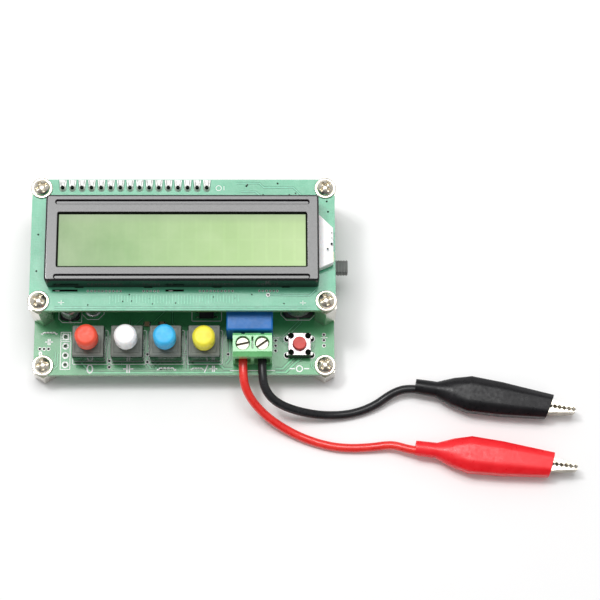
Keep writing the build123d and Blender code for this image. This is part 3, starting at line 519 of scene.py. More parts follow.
def ribbon(bm, points, width, z, height=0.03, closed=False):
    """A flat strip of even width that follows level points."""
    path = [Vector((x, y)) for x, y, *_ in points]
    sections = []
    for i, here in enumerate(path):
        back = (here - path[i - 1]).normalized() if i or closed else None
        ahead = (path[(i + 1) % len(path)] - here).normalized() if i < len(path) - 1 or closed else None
        back, ahead = back or ahead, ahead or back
        along = (back + ahead).normalized()
        across = Vector((-along.y, along.x))
        reach = across * width / 2 / max(0.5, across.dot(Vector((-ahead.y, ahead.x))))
        left, right = here + reach, here - reach
        corners = ((left, z), (left, z + height), (right, z + height), (right, z))
        sections.append([(side.x, side.y, level) for side, level in corners])
    rings = skin(bm, sections, closed=closed)
    if not closed:
        close_ends(bm, rings)


def washer(bm, centre, inner, outer, z, height=0.03, count=32):
    """A flat ring."""
    sections = ((inner, z), (outer, z), (outer, z + height), (inner, z + height))
    skin(bm, [circle(centre, radius, level, count) for radius, level in sections], closed=True)


def arc(centre, radius, start, end, steps=10):
    """Level points along an arc, angles in degrees."""
    angles = [radians(start + (end - start) * i / steps) for i in range(steps + 1)]
    return [(centre[0] + radius * cos(a), centre[1] + radius * sin(a)) for a in angles]


def dress(node, material, ease=None):
    """Give a CAD node a finish and, where it has crisp edges, a small rounding."""
    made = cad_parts[node]
    made.data.materials.clear()
    made.data.materials.append(material)
    if ease:
        weld = made.modifiers.new("joined_corners", "WELD")
        weld.merge_threshold = 1e-6
        edge = made.modifiers.new("eased_edges", "BEVEL")
        edge.width = ease * MM
        edge.segments = 2
        edge.limit_method = "ANGLE"
        edge.angle_limit = radians(30)
        edge.harden_normals = False


# ------------------------------------------------------------------ boards
def trace_route(start, end, bend_first):
    """A level route from start to end with one diagonal stretch."""
    dx, dy = end[0] - start[0], end[1] - start[1]
    diagonal = min(abs(dx), abs(dy))
    step = (diagonal * (1 if dx > 0 else -1), diagonal * (1 if dy > 0 else -1))
    from_point, sign = (start, 1) if bend_first else (end, -1)
    middle = (from_point[0] + sign * step[0], from_point[1] + sign * step[1])
    route = [start]
    for here, before in ((middle, start), (end, middle)):
        if hypot(here[0] - before[0], here[1] - before[1]) > SHORTEST_RUN:
            route.append(here)
    return route


PIN_PITCH = 2.54
LANE_PITCH = 0.6
SCREW_X = 37.5
# the rear screws and the header's row
REAR_Y = 22.5
SHORTEST_RUN = 0.05
# tracks that show in front of the switches and the display, as level routes
MAIN_FRONT_TRACKS = (
    [(-27.4, -21.6), (-24.6, -24.4), (12.8, -24.4)],
    [(-9.9, -12.9), (-9.9, -21.9), (-8.8, -23.4)],
    [(0.4, -12.9), (0.4, -16.0), (1.0, -16.8), (1.0, -23.4)],
    [(0.4, -14.4), (1.8, -15.8), (1.8, -22.0)],
    [(11.4, -13.6), (12.1, -14.4), (12.1, -20.8), (11.2, -22.0)],
    [(24.3, -24.4), (27.0, -24.4), (30.6, -20.8)],
    [(24.3, -23.4), (26.2, -23.4), (29.8, -19.8)],
    [(12.8, -23.4), (10.6, -23.4), (9.2, -22.0), (2.6, -22.0)],
)
DISPLAY_FRONT_TRACKS = (
    [(-33.4, -10.15), (33.4, -10.15)],
    [(22.3, -6.8), (33.2, -7.0), (35.0, -5.2)],
    [(14.0, 24.0), (20.0, 24.0), (21.2, 22.8), (29.0, 22.8), (31.0, 20.8)],
    [(15.2, 21.6), (19.0, 21.6), (20.2, 20.6)],
)


def lay_track(lines, gaps, route, z, width=0.24, clearance=0.16):
    """A copper track and the darker clearance on both sides of it."""
    ribbon(gaps, route, width + 2 * clearance, z, 0.012)
    ribbon(lines, route, width, z, 0.022)


def make_traces(finish):
    """Copper tracks under the mask on both faces of both boards."""
    rng = random.Random(11)
    faces = (
        ("main_board", MAIN_TOP, "", 46),
        ("main_board_under", MAIN_BOTTOM - 0.022, "", 60),
        ("lcd_board", LCD_TOP, "lcd_", 0),
        ("lcd_board_under", LCD_BOTTOM - 0.022, "lcd_", 40),
    )
    for name, z, kind, count in faces:
        corner, far = span(name.removesuffix("_under"))
        lines, gaps = bmesh.new(), bmesh.new()
        for _ in range(count):
            start = (rng.uniform(corner.x + 6, far.x - 6), rng.uniform(corner.y + 2, far.y - 4))
            reach = rng.uniform(6, 22)
            turn = rng.choice((0, 90, 180, 270)) + rng.choice((-20, 20))
            end = (
                min(max(start[0] + reach * cos(radians(turn)), corner.x + 5.5), far.x - 5.5),
                min(max(start[1] + reach * sin(radians(turn)), corner.y + 1.6), far.y - 2.6),
            )
            route = trace_route(start, end, rng.random() < 0.5)
            slope = 1 if (end[0] - start[0]) * (end[1] - start[1]) > 0 else -1
            for lane in range(rng.choice((1, 1, 2, 3))):
                aside = lane * LANE_PITCH
                lay_track(lines, gaps, [(x - slope * aside, y + aside) for x, y in route], z)
        if name == "main_board":
            for route in MAIN_FRONT_TRACKS:
                lay_track(lines, gaps, route, z + 0.004, 0.5, 0.2)
        if name == "lcd_board":
            for route in DISPLAY_FRONT_TRACKS:
                lay_track(lines, gaps, route, z + 0.004, 0.3, 0.14)
            # the fine parallel tracks at the foot of the bezel
            for i in range(44):
                x = -19.0 + 0.78 * i
                ribbon(lines, [(x, -6.6 - rng.uniform(0, 0.5)), (x, -8.4 - rng.uniform(0, 1.0))], 0.22, z)
        piece(f"{name}_gaps", gaps, finish[f"{kind}gap"])
        piece(f"{name}_tracks", lines, finish[f"{kind}trace"])


def plated_via(pads, holes, place, z, ring=0.52, hole=0.32):
    """A plated hole: a dark disc inside a bright ring, which may be left out."""
    if ring > hole:
        washer(pads, place, hole, ring, z, 0.03, 20)
    disc(holes, place, hole, z, 0.026)


def make_header_pads(pads, holes, edges):
    """Sixteen pads with a round end by the pin and two dark slits, and the gaps beside them."""
    header_low, _ = span("header_pins")
    _, high = span("lcd_board")
    for i in range(16):
        x = header_low.x + 0.95 + PIN_PITCH * i
        outline = arc((x, REAR_Y), 0.78, 190, 350, 12)
        outline += [(x + 0.8, 23.4), (x + 0.98, high.y - 0.12), (x - 0.98, high.y - 0.12), (x - 0.8, 23.4)]
        prism(pads, outline, LCD_TOP, 0.03)
        for side in (-1, 1):
            slit = [(x + side * 0.42, 23.3), (x + side * 0.62, high.y - 0.2)]
            ribbon(holes, slit, 0.1, LCD_TOP + 0.03, 0.012)
            ribbon(edges, [(x + side * 0.9, 22.4), (x + side * 1.1, high.y - 0.1)], 0.2, LCD_TOP, 0.02)


def make_lcd_board_details(finish):
    """What is on the display board's face: header pads, vias, rows of test points and marks."""
    low, high = span("lcd_board")
    header_low, header_high = span("header_pins")
    pads, holes, edges = bmesh.new(), bmesh.new(), bmesh.new()
    make_header_pads(pads, holes, edges)
    # rows of small plated holes along the foot of the bezel's front wall
    for start, end in ((-24.7, -15.8), (-10.2, -6.0), (4.5, 13.7), (20.0, 24.8)):
        for i in range(int((end - start) / 0.95) + 1):
            plated_via(pads, holes, (start + 0.95 * i, -5.75), LCD_TOP, 0.3, 0.2)
    for left, right in ((-34.0, -27.4), (-4.5, 0.3)):
        ribbon(holes, [(left, -5.6), (right, -5.6)], 0.55, LCD_TOP, 0.02)
        ribbon(pads, [(left + 0.8, -5.7), (left + 1.9, -5.7)], 0.12, LCD_TOP + 0.02)
    rng = random.Random(5)
    for _ in range(26):
        x = rng.uniform(low.x + 7, high.x - 7)
        y = rng.choice((rng.uniform(low.y + 1.5, low.y + 4.4), rng.uniform(high.y - 5.6, high.y - 1.2)))
        if abs(y - REAR_Y) > 1.6 or not header_low.x - 1.5 < x < header_high.x + 1.5:
            plated_via(pads, holes, (x, y), LCD_TOP, 0.0, 0.2)
    for place in ((-38.3, -0.3), (-38.1, 9.7), (38.2, 16.0), (37.9, 18.9), (16.6, 23.2), (24.9, 23.9)):
        plated_via(pads, holes, place, LCD_TOP, 0.0, 0.26)
    plated_via(pads, holes, DISPLAY_FRONT_TRACKS[1][0], LCD_TOP, 0.55, 0.25)
    piece("lcd_board_pads", pads, finish["pad"])
    piece("lcd_board_holes", holes, finish["hole"])
    piece("lcd_board_pad_edges", edges, finish["lcd_gap"])

    ink, ink_z = bmesh.new(), LCD_TOP + 0.01
    ring_x, bar_x = header_high.x + 2.2, header_high.x + 3.6
    ribbon(ink, circle((ring_x, REAR_Y + 0.1), 0.7, ink_z, 20), 0.16, ink_z, closed=True)
    ribbon(ink, [(bar_x, 23.2), (bar_x, 22.0)], 0.16, ink_z)
    for x, y in ((31.4, -9.0), (-31.6, -8.8)):
        ribbon(ink, [(x - 0.8, y), (x + 0.8, y)], 0.16, ink_z)
        ribbon(ink, [(x, y - 0.6), (x, y + 0.6)], 0.16, ink_z)
    piece("lcd_board_ink", ink, finish["ink"])


def capacitor_mark(bm, x, y, size, z):
    """Two plates with a lead each."""
    for side in (-1, 1):
        plate = x + side * size * 0.14
        ribbon(bm, [(plate, y - size * 0.5), (plate, y + size * 0.5)], 0.36, z)
        ribbon(bm, [(plate, y), (x + side * size * 0.62, y)], 0.32, z)


def coil_mark(bm, x, y, size, z):
    """A row of four bumps with a lead each side."""
    bump, foot = size * 0.26, y - size * 0.12
    for i in range(4):
        ribbon(bm, arc((x + (i - 1.5) * 2 * bump, foot), bump, 180, 0, 10), 0.34, z)
    for side in (-1, 1):
        ribbon(bm, [(x + side * 4 * bump, foot), (x + side * 5.2 * bump, foot)], 0.34, z)


def zero_mark(bm, x, y, size, z):
    """A tall ring."""
    points = [(px, y + (py - y) * 1.5) for px, py, _ in circle((x, y), size * 0.34, z, 24)]
    ribbon(bm, points, 0.36, z, closed=True)


# the spare header at the left of the main board: its first pad, then three more towards the front
SPARE_X, SPARE_TOP, SPARE_PADS = -31.6, -14.6, 4
LABEL_Y = -23.4
# place, diameter and height of each can, and the places of the small chips
CAPACITORS = (((-30.55, -7.6), 5.0, 5.4), ((30.35, -5.5), 8.0, 6.5))
SMALL_CHIPS = ((5.9, -7.3), (5.9, 4.0), (-21.0, 17.0))


def make_captions(ink, z):
    """Generic symbols in front of the buttons and beside the spare header."""
    zero, high_c, high_l, mode = (footprint(f"{name}_cap")[2][0] for name in SWITCHES)
    zero_mark(ink, zero, LABEL_Y, 2.1, z)
    capacitor_mark(ink, high_c, LABEL_Y, 2.2, z)
    coil_mark(ink, high_l, LABEL_Y, 1.9, z)
    coil_mark(ink, mode - 2.0, LABEL_Y, 1.3, z)
    ribbon(ink, [(mode - 0.1, LABEL_Y - 1.0), (mode + 0.8, LABEL_Y + 1.0)], 0.32, z)
    capacitor_mark(ink, mode + 2.3, LABEL_Y, 1.7, z)
    function = footprint("function_button_base")[2][0]
    ribbon(ink, circle((function, LABEL_Y), 0.8, z, 20), 0.32, z, closed=True)
    for side in (-1, 1):
        ribbon(ink, [(function + side * 1.2, LABEL_Y), (function + side * 2.6, LABEL_Y)], 0.32, z)
    coil_mark(ink, -36.0, -13.6, 1.6, z)
    capacitor_mark(ink, -36.0, -16.0, 1.7, z)
    zero_mark(ink, -38.2, -19.2, 0.9, z)


def make_outlines(ink, z):
    """Outlines about the spare header, the switches, the capacitors, the crystal and the chip."""
    half = PIN_PITCH / 2
    left, right, top = SPARE_X - half, SPARE_X + half, SPARE_TOP + half
    foot = top - SPARE_PADS * PIN_PITCH
    ribbon(ink, [(left, top), (right, top), (right, foot), (left, foot)], 0.2, z, closed=True)
    ribbon(ink, [(right, top - PIN_PITCH), (left, top - PIN_PITCH)], 0.2, z)
    for name in SWITCHES:
        x = footprint(f"{name}_cap")[2][0]
        ribbon(ink, rounded((x, -17.5), 4.65, 0.3, z, 2), 0.18, z, closed=True)
    for (x, y), diameter, _ in CAPACITORS:
        half = diameter / 2 + 0.55
        cut = half * 0.32
        # only the larger can's outline has its second front corner cut too
        cut_right = cut if diameter > 6 else 0
        outline = [(x - half, y + half), (x - half, y - half + cut), (x - half + cut, y - half)]
        outline += [(x + half - cut_right, y - half), (x + half, y - half + cut_right + 0.01)]
        ribbon(ink, outline + [(x + half, y + half)], 0.2, z, closed=True)
    crystal = footprint("crystal")[2]
    ribbon(ink, rounded(crystal, (2.95, 6.3), 1.5, z, 1), 0.2, z, closed=True)
    ribbon(ink, rounded(SMALL_CHIPS[0], (3.95, 3.0), 0.2, z, 1), 0.2, z, closed=True)
    for x in (24.4, 37.3):
        ribbon(ink, [(x - 0.9, -14.9), (x + 0.9, -14.9)], 0.16, z)
    ribbon(ink, [(12.2, -23.9), (24.2, -23.9)], 0.2, z)


def make_main_board_details(finish):
    """Silkscreen, pads and vias of the main board."""
    z = MAIN_TOP + 0.01
    ink, pads, holes = bmesh.new(), bmesh.new(), bmesh.new()
    make_captions(ink, z)
    make_outlines(ink, z)
    # the first pad of the spare header is square
    sections = ((0.5, z), (0.9, z), (0.9, z + 0.03), (0.5, z + 0.03))
    square = [rounded((SPARE_X, SPARE_TOP), half, 0.05, level, 1) for half, level in sections]
    skin(pads, square, closed=True)
    for i in range(1, SPARE_PADS):
        washer(pads, (SPARE_X, SPARE_TOP - i * PIN_PITCH), 0.5, 0.92, z)
    vias = [(-38.4, -17.9), (-37.3, -17.9), (-36.1, -17.9)]
    vias += [(24.33, -15.7 - 1.4 * i) for i in range(3)] + [(37.25, -14.1 - 1.5 * i) for i in range(3)]
    vias += [(-9.8, -19.4), (-9.8, -21.5), (-19.9, -21.2), (-19.9, -22.9), (11.7, -19.4)]
    for place in vias:
        plated_via(pads, holes, place, MAIN_TOP)
    piece("main_board_ink", ink, finish["ink"])
    piece("main_board_pads", pads, finish["pad"])
    piece("main_board_holes", holes, finish["hole"])


# ------------------------------------------------------------------ parts on the boards
BEZEL_CENTRE = (0.0, 7.0)
BEZEL_HALF = (35.6, 11.7)
BEZEL_CORNER = 0.8
BEZEL_SHEET = 0.5
WINDOW_CENTRE = (0.0, 6.45)
WINDOW_HALF = (32.4, 7.3)
CELL_WIDTH, CELL_HEIGHT = 3.65, 6.0
GROOVE_CENTRES = ((0.0, -3.55), (0.0, 16.7))
GROOVE_HALF = (33.2, 0.65)
GROOVE_DEPTH = 1.0
TAB_X = (-27.0, -9.0, 9.0, 27.0)


def grown(half, amount):
    """Half sides of a rectangle with a margin added."""
    return (half[0] + amount, half[1] + amount)


def bezel_tab(bm, x, y):
    """A tab through the board whose end is twisted to hold it."""
    slab(bm, (x - 1.0, y - 0.25, LCD_BOTTOM - 0.05), (x + 1.0, y + 0.25, LCD_TOP))
    turn = Matrix.Rotation(radians(35), 2)
    corners = [turn @ Vector(corner) for corner in ((-0.9, -0.22), (0.9, -0.22), (0.9, 0.22), (-0.9, 0.22))]
    prism(bm, [(x + corner.x, y + corner.y) for corner in corners], LCD_BOTTOM - 1.1, 1.05)


def make_bezel(finish):
    """Pressed steel frame: rolled outer edge, rolled window edge and two pressed channels."""
    top = span("lcd_bezel")[1].z
    bm = bmesh.new()
    roll, lip = 0.5, 0.28
    steps = [pi / 2 * i / 5 for i in range(6)]
    levels = [(0.0, LCD_TOP)]
    levels += [(roll * (1 - cos(a)), top - roll * (1 - sin(a))) for a in steps]
    levels.append((roll + 0.06, top))
    loops = [
        rounded(BEZEL_CENTRE, grown(BEZEL_HALF, -inset), max(0.3, BEZEL_CORNER - inset), z)
        for inset, z in levels
    ]
    outside = skin(bm, loops)
    levels = [(lip + 0.05, top)]
    levels += [(lip * (1 - sin(a)), top - lip * (1 - cos(a))) for a in steps]
    levels += [(0.0, top - BEZEL_SHEET + 0.02)]
    loops = [rounded(WINDOW_CENTRE, grown(WINDOW_HALF, out), 0.3 + out, z) for out, z in levels]
    inner = grown(BEZEL_HALF, -BEZEL_SHEET)
    loops += [rounded(BEZEL_CENTRE, inner, 0.4, z) for z in (top - BEZEL_SHEET + 0.02, LCD_TOP)]
    window = skin(bm, loops)
    bridge(bm, window[-1], outside[0])
    edges = rim(bm, outside[-1]) + rim(bm, window[0])
    # each channel's margin, depth and slip towards the front, from its rim to its floor
    levels = [(0.09, 0.0, 0.0), (0.02, 0.0, 0.0), (-0.03, 0.02, 0.0), (-0.12, 0.1, -0.04)]
    levels += [(-0.22, 0.26, -0.08), (-0.36, 0.56, -0.12), (-0.54, GROOVE_DEPTH, -0.12)]
    for x, y in GROOVE_CENTRES:
        loops = []
        for out, depth, slip in levels:
            loops.append(rounded((x, y + slip), grown(GROOVE_HALF, out), 0.65, top - depth))
        rings = skin(bm, loops)
        bm.faces.new(rings[-1])
        edges += rim(bm, rings[0])
    bmesh.ops.triangle_fill(bm, use_beauty=True, edges=edges, normal=(0, 0, 1))
    for x in TAB_X:
        for side in (-1, 1):
            bezel_tab(bm, x, BEZEL_CENTRE[1] + side * (BEZEL_HALF[1] - BEZEL_SHEET / 2))
    piece("bezel_frame", bm, finish["bezel"], slot="bezel", instead_of=("lcd_bezel",))


def screw_head(bm, centre, seat, height, length, turn):
    """A washer head with a domed top, a cross recess and a ridged shank."""
    count, dome_steps = 96, 14
    profile = [(0.3, seat - length)]
    for i in range(int((length - 0.6) / 0.5)):
        z = seat - length + 0.2 + 0.5 * i
        profile += [(1.22, z), (1.47, z + 0.25)]
    profile += [(1.4, seat - 0.1), (1.5, seat)]
    profile += [(2.75, seat), (2.84, seat + 0.08), (2.84, seat + 0.3), (2.78, seat + 0.4), (2.66, seat + 0.45)]
    profile += [(2.3, seat + 0.5), (2.24, seat + 0.45), (2.2, seat + 0.5), (2.1, seat + 0.92)]
    loops = [circle(centre, radius, z, count) for radius, z in profile]
    for step in range(1, dome_steps + 1):
        radius = 2.08 * (1 - step / (dome_steps + 0.5))
        points = []
        for i in range(count):
            angle = 2 * pi * i / count
            x, y = radius * cos(angle), radius * sin(angle)
            along, across = sorted((abs(x), abs(y)), reverse=True)
            wall = min(1.0, max(0.0, (0.46 - across) / 0.14)) * min(1.0, max(0.0, (1.6 - along) / 0.3))
            z = seat + 1.0 + (height - 1.0) * (1 - (radius / 2.12) ** 2) - 1.1 * wall
            px = x * cos(turn) - y * sin(turn)
            py = x * sin(turn) + y * cos(turn)
            points.append((centre[0] + px, centre[1] + py, z))
        loops.append(points)
    nest(bm, loops)


def make_screws(finish):
    """The six cross-recessed screws."""
    low, high = span("pan_head_screws")
    height = high.z - LCD_TOP
    bm = bmesh.new()
    turns = iter((0.5, 1.1, 0.2, 0.75, 0.35, 0.9))
    for x in (-SCREW_X, SCREW_X):
        for y, seat in ((REAR_Y, LCD_TOP), (-8.5, LCD_TOP), (-22.5, MAIN_TOP)):
            length = min(seat - low.z, 6.0)
            screw_head(bm, (x, y), seat, height, length, next(turns))
    piece("screw_heads", bm, finish["screw_nickel"], slot="nickel", instead_of=("pan_head_screws",), sharp=50)


def make_switch(name, finish):
    """Housing with an eased rim, a grooved top and a guide hole, and its round cap."""
    low, high, centre, (half, _) = footprint(f"{name}_switch_housing")
    ceiling = high.z - 1.2
    floor = low.z + 1.0
    # half width, corner radius and height, down the outside first and then into the guide hole
    rows = (
        (half, 0.35, low.z),
        (half, 0.35, high.z - 1.5),
        (half - 0.08, 0.35, high.z - 1.44),
        (half - 0.08, 0.35, high.z - 0.25),
        (half - 0.14, 0.35, high.z - 0.08),
        (half - 0.3, 0.3, high.z),
        (half - 0.75, 0.25, high.z),
        (half - 0.8, 0.25, high.z - 0.12),
        (half - 1.0, 0.25, high.z - 0.12),
        (half - 1.05, 0.25, high.z),
        (2.3, 2.3, high.z),
        (2.2, 2.2, high.z - 0.2),
        (1.6, 0.1, high.z - 0.2),
        (1.57, 0.05, ceiling),
        (3.0, 3.0, ceiling),
        (3.0, 3.0, floor),
    )
    bm = bmesh.new()
    # the level top faces take the lighter grey material, a painted sheen on the black housing
    nest(bm, [rounded(centre, size, corner, z) for size, corner, z in rows], [0] * 4 + [1] * 8 + [0] * 4)
    materials = [finish["switch_body"], finish["switch_top"]]
    housing = (f"{name}_switch_housing",)
    piece(f"{name}_switch_body", bm, materials, slot="switch_black", instead_of=housing)

    low, high = span(f"{name}_cap")
    radius = (high.x - low.x) / 2
    # the square socket, then the round outside from its foot to its crown
    rows = [(1.5, 0.05, low.z + 3.6), (1.5, 0.05, low.z)]
    outside = ((0.45, low.z), (0.15, low.z + 0.06), (0.0, low.z + 0.25), (0.0, high.z - 0.95))
    crown = ((0.05, 0.8), (0.48, 0.22), (0.62, 0.1), (0.85, 0.03), (1.3, 0.0), (radius - 0.6, 0.0))
    rows += [(radius - inset, radius, z) for inset, z in outside]
    rows += [(radius - inset, radius, high.z - drop) for inset, drop in crown]
    bm = bmesh.new()
    nest(bm, [rounded(centre, size, corner, z) for size, corner, z in rows])
    plastic = f"{CAP_COLOURS[name]}_plastic"
    settings = {"body": f"{name}_button", "slot": plastic, "instead_of": (f"{name}_cap",), "sharp": 50}
    piece(f"{name}_round_cap", bm, finish[plastic], **settings)
    dress(f"{name}_plunger", finish["white_plastic"], 0.1)


def make_relay(finish):
    """Moulded case over a narrower base, with a parting line near its foot."""
    low, high, centre, half = footprint("relay")
    # inset, corner radius and height
    rows = (
        (0.25, 0.3, low.z),
        (0.25, 0.3, low.z + 0.5),
        (0.0, 0.35, low.z + 0.5),
        (0.0, 0.35, low.z + 1.6),
        (0.06, 0.35, low.z + 1.66),
        (0.06, 0.35, low.z + 1.8),
        (0.0, 0.35, low.z + 1.86),
        (0.03, 0.4, high.z - 0.5),
        (0.12, 0.4, high.z - 0.2),
        (0.35, 0.4, high.z - 0.03),
        (0.6, 0.4, high.z),
    )
    bm = bmesh.new()
    nest(bm, [rounded(centre, grown(half, -inset), corner, z) for inset, corner, z in rows])
    piece("relay_case", bm, finish["relay_blue"], slot="relay_blue", instead_of=("relay",), sharp=45)


def make_capacitors(finish):
    """Surface-mount electrolytic cans on black bases."""
    bm = bmesh.new()
    seat = MAIN_TOP + 0.9
    for (x, y), diameter, height in CAPACITORS:
        half, r, top = diameter / 2 + 0.1, diameter / 2, MAIN_TOP + height
        # where the two front corners are cut off
        cut_at = half * 0.75
        outline = [(half, half), (-half, half), (-half, -cut_at), (-cut_at, -half)]
        outline += [(cut_at, -half), (half, -cut_at)]
        levels = ((1.0, MAIN_TOP), (1.0, seat - 0.1), (0.97, seat))
        base = [[(x + px * share, y + py * share, z) for px, py in outline] for share, z in levels]
        close_ends(bm, skin(bm, base, 1), 1)
        # the can, with the groove near its foot and the step inside its rolled top edge
        profile = [(r - 0.25, seat - 0.05), (r, seat + 0.15), (r, seat + 0.9), (r - 0.28, seat + 1.15)]
        profile += [(r, seat + 1.4), (r, top - 0.55), (r - 0.12, top - 0.2), (r - 0.45, top)]
        profile += [(r - 0.8, top - 0.03), (r - 0.95, top - 0.12), (0.4, top - 0.12)]
        lathe(bm, profile, (x, y), 56)
        for side in (-1, 1):
            foot = y + side * half
            near, far = foot - 0.45, foot + 0.25 * side + 0.2
            slab(bm, (x - 0.35, near, MAIN_TOP), (x + 0.35, far, MAIN_TOP + 0.2), 2)
        # printed segment at the negative side
        prism(bm, arc((x, y), r - 1.0, 205, 335, 16), top - 0.115, 0.015, 1)
    materials = [finish["can"], finish["black_plastic"], finish["solder"]]
    cans = ("electrolytic_capacitors",)
    piece("capacitor_cans", bm, materials, slot="capacitor_can", instead_of=cans)


def gull_wing(bm, x, y, direction, width):
    """A bent lead from a chip's side down to the main board."""
    dx, dy = direction
    across = (-dy * width / 2, dx * width / 2)
    thickness = 0.14
    sections = []
    for reach, height in ((0.0, 0.75), (0.35, 0.75), (0.55, 0.15), (1.0, 0.15)):
        px, py, z = x + dx * reach, y + dy * reach, MAIN_TOP + height
        corners = ((-1, z - thickness), (1, z - thickness), (1, z), (-1, z))
        sections.append([(px + side * across[0], py + side * across[1], level) for side, level in corners])
    close_ends(bm, skin(bm, sections, 1), 1)


def chip_body(bm, centre, half, height):
    """A moulded package on the main board, with drafted sides."""
    levels = ((0.12, 0.1), (0.0, height * 0.5), (0.15, height))
    nest(bm, [rounded(centre, grown(half, -inset), 0.05, MAIN_TOP + z, 1) for inset, z in levels])


def make_chips(finish):
    """The controller, small chips, chip capacitors and the display's driver blobs."""
    bm = bmesh.new()
    centre, width, count, pitch = (-8.0, 6.0), 10.0, 11, 0.8
    chip_body(bm, centre, (width / 2, width / 2), 1.5)
    for i in range(count):
        step = (i - (count - 1) / 2) * pitch
        for dx, dy in ((1, 0), (-1, 0), (0, 1), (0, -1)):
            x = centre[0] + dx * width / 2 + (step if dx == 0 else 0)
            y = centre[1] + dy * width / 2 + (step if dy == 0 else 0)
            gull_wing(bm, x, y, (dx, dy), 0.35)
    # a ring marks each chip's first pin
    washer(bm, (centre[0] - 3.9, centre[1] + 3.9), 0.3, 0.5, MAIN_TOP + 1.495, 0.02, 24)
    materials = [finish["chip"], finish["solder"]]
    piece("controller_chip", bm, materials, slot="chip_black", instead_of=("microcontroller",))

    bm = bmesh.new()
    half_width = 1.95
    for x, y in SMALL_CHIPS:
        chip_body(bm, (x, y), (half_width, 2.45), 1.6)
        for step in (-1.905, -0.635, 0.635, 1.905):
            for side in (-1, 1):
                gull_wing(bm, x + side * half_width, y + step, (side, 0), 0.42)
        washer(bm, (x - 1.2, y + 1.7), 0.2, 0.35, MAIN_TOP + 1.595, 0.02, 20)
    places = ((-18.0, -6.0), (-14.0, -6.0), (-2.0, -5.5), (1.0, 12.0), (-19.0, 12.0), (14.0, 2.0))
    places += ((18.0, 2.0), (22.0, 6.0), (-20.0, 3.0), (24.0, 14.0), (-10.0, -11.2), (-6.0, -11.2))
    for x, y in places:
        nest(bm, [rounded((x, y), (0.6, 0.6), 0.05, z, 1) for z in (MAIN_TOP + 0.03, MAIN_TOP + 0.75)], [2, 2])
        for side in (-1, 1):
            levels = (MAIN_TOP, MAIN_TOP + 0.7, MAIN_TOP + 0.78)
            halves = ((0.2, 0.62), (0.2, 0.62), (0.17, 0.58))
            middle = (x + side * 0.8, y)
            nest(bm, [rounded(middle, half, 0.06, z, 2) for half, z in zip(halves, levels)], [1, 1, 1])
    blob, rise = 6.0, 1.2
    for x, y in ((-14.0, 7.0), (16.0, 7.0)):
        profile = [(blob * cos(a), LCD_BOTTOM - rise * sin(a)) for a in [pi / 2 * i / 10 for i in range(11)]]
        lathe(bm, [(blob, LCD_BOTTOM)] + profile[1:], (x, y), 40)
    piece("small_chips", bm, materials + [finish["ceramic"]], slot="chip_black", instead_of=("chip_parts",))


def make_crystal(finish):
    """Pressed metal can with a flanged foot."""
    low, high, centre, half = footprint("crystal")
    levels = (
        (0.0, low.z),
        (0.0, low.z + 0.35),
        (0.12, low.z + 0.5),
        (0.4, low.z + 0.55),
        (0.45, high.z - 0.5),
        (0.55, high.z - 0.2),
        (0.85, high.z - 0.03),
        (1.2, high.z),
    )
    bm = bmesh.new()
    nest(bm, [rounded(centre, grown(half, -inset), half[0], z, 10) for inset, z in levels])
    piece("crystal_can", bm, finish["steel"], slot="bright_steel", instead_of=("crystal",), sharp=50)


def make_power_knob(finish):
    """Slide knob with grip ribs, and the carriage behind it."""
    low, high = span("power_switch_slider")
    shell_face = span("power_switch_shell")[1].x
    knob_y = 3.6
    half_y, half_z = 3.55 / 2, 1.5
    middle_z = MAIN_TOP + 3.0
    bm = bmesh.new()
    slab(bm, (low.x, low.y, middle_z - 2.3), (shell_face - 0.45, high.y, middle_z + 2.3))
    stations = [(shell_face - 0.9, 0.0), (high.x - 3.2, 0.0)]
    for i in range(4):
        x = high.x - 3.0 + i * 0.72
        stations += [(x, 0.0), (x + 0.08, 0.16), (x + 0.3, 0.16), (x + 0.38, 0.0)]
    stations += [(high.x - 0.15, 0.02), (high.x, 0.2)]
    loops = []
    for x, inset in stations:
        ring = rounded((knob_y, middle_z), (half_y - inset, half_z - inset * 0.5), 0.25, 0, 3)
        loops.append([(x, py, pz) for py, pz, _ in ring])
    nest(bm, loops)
    slider = ("power_switch_slider",)
    piece("power_knob", bm, finish["knob"], body="power_slider", slot="black_plastic", instead_of=slider)


def make_backlight_joints(finish):
    """The pale solder land at the corner of the backlight's tab, with its small joints."""
    top = span("lcd_backlight")[1].z
    lands, spots = bmesh.new(), bmesh.new()
    prism(lands, [(37.1, 2.2), (39.7, 2.2), (39.7, 5.0), (38.9, 4.7), (38.0, 3.6)], LCD_TOP, 0.04)
    piece("backlight_land", lands, finish["land"])
    for x, y, radius in ((38.95, 6.0, 0.3), (39.0, 7.6, 0.14), (39.0, 9.0, 0.16), (37.9, 4.6, 0.24)):
        disc(spots, (x, y), radius, top)
    for x, y, radius in ((38.6, 3.2, 0.32), (37.5, 2.3, 0.3)):
        profile = ((radius, 0.0), (radius * 0.9, 0.2), (radius * 0.4, 0.4), (0.05, 0.42))
        lathe(spots, [(size, LCD_TOP + z) for size, z in profile], (x, y), 20)
    piece("backlight_joints", spots, finish["hole"])


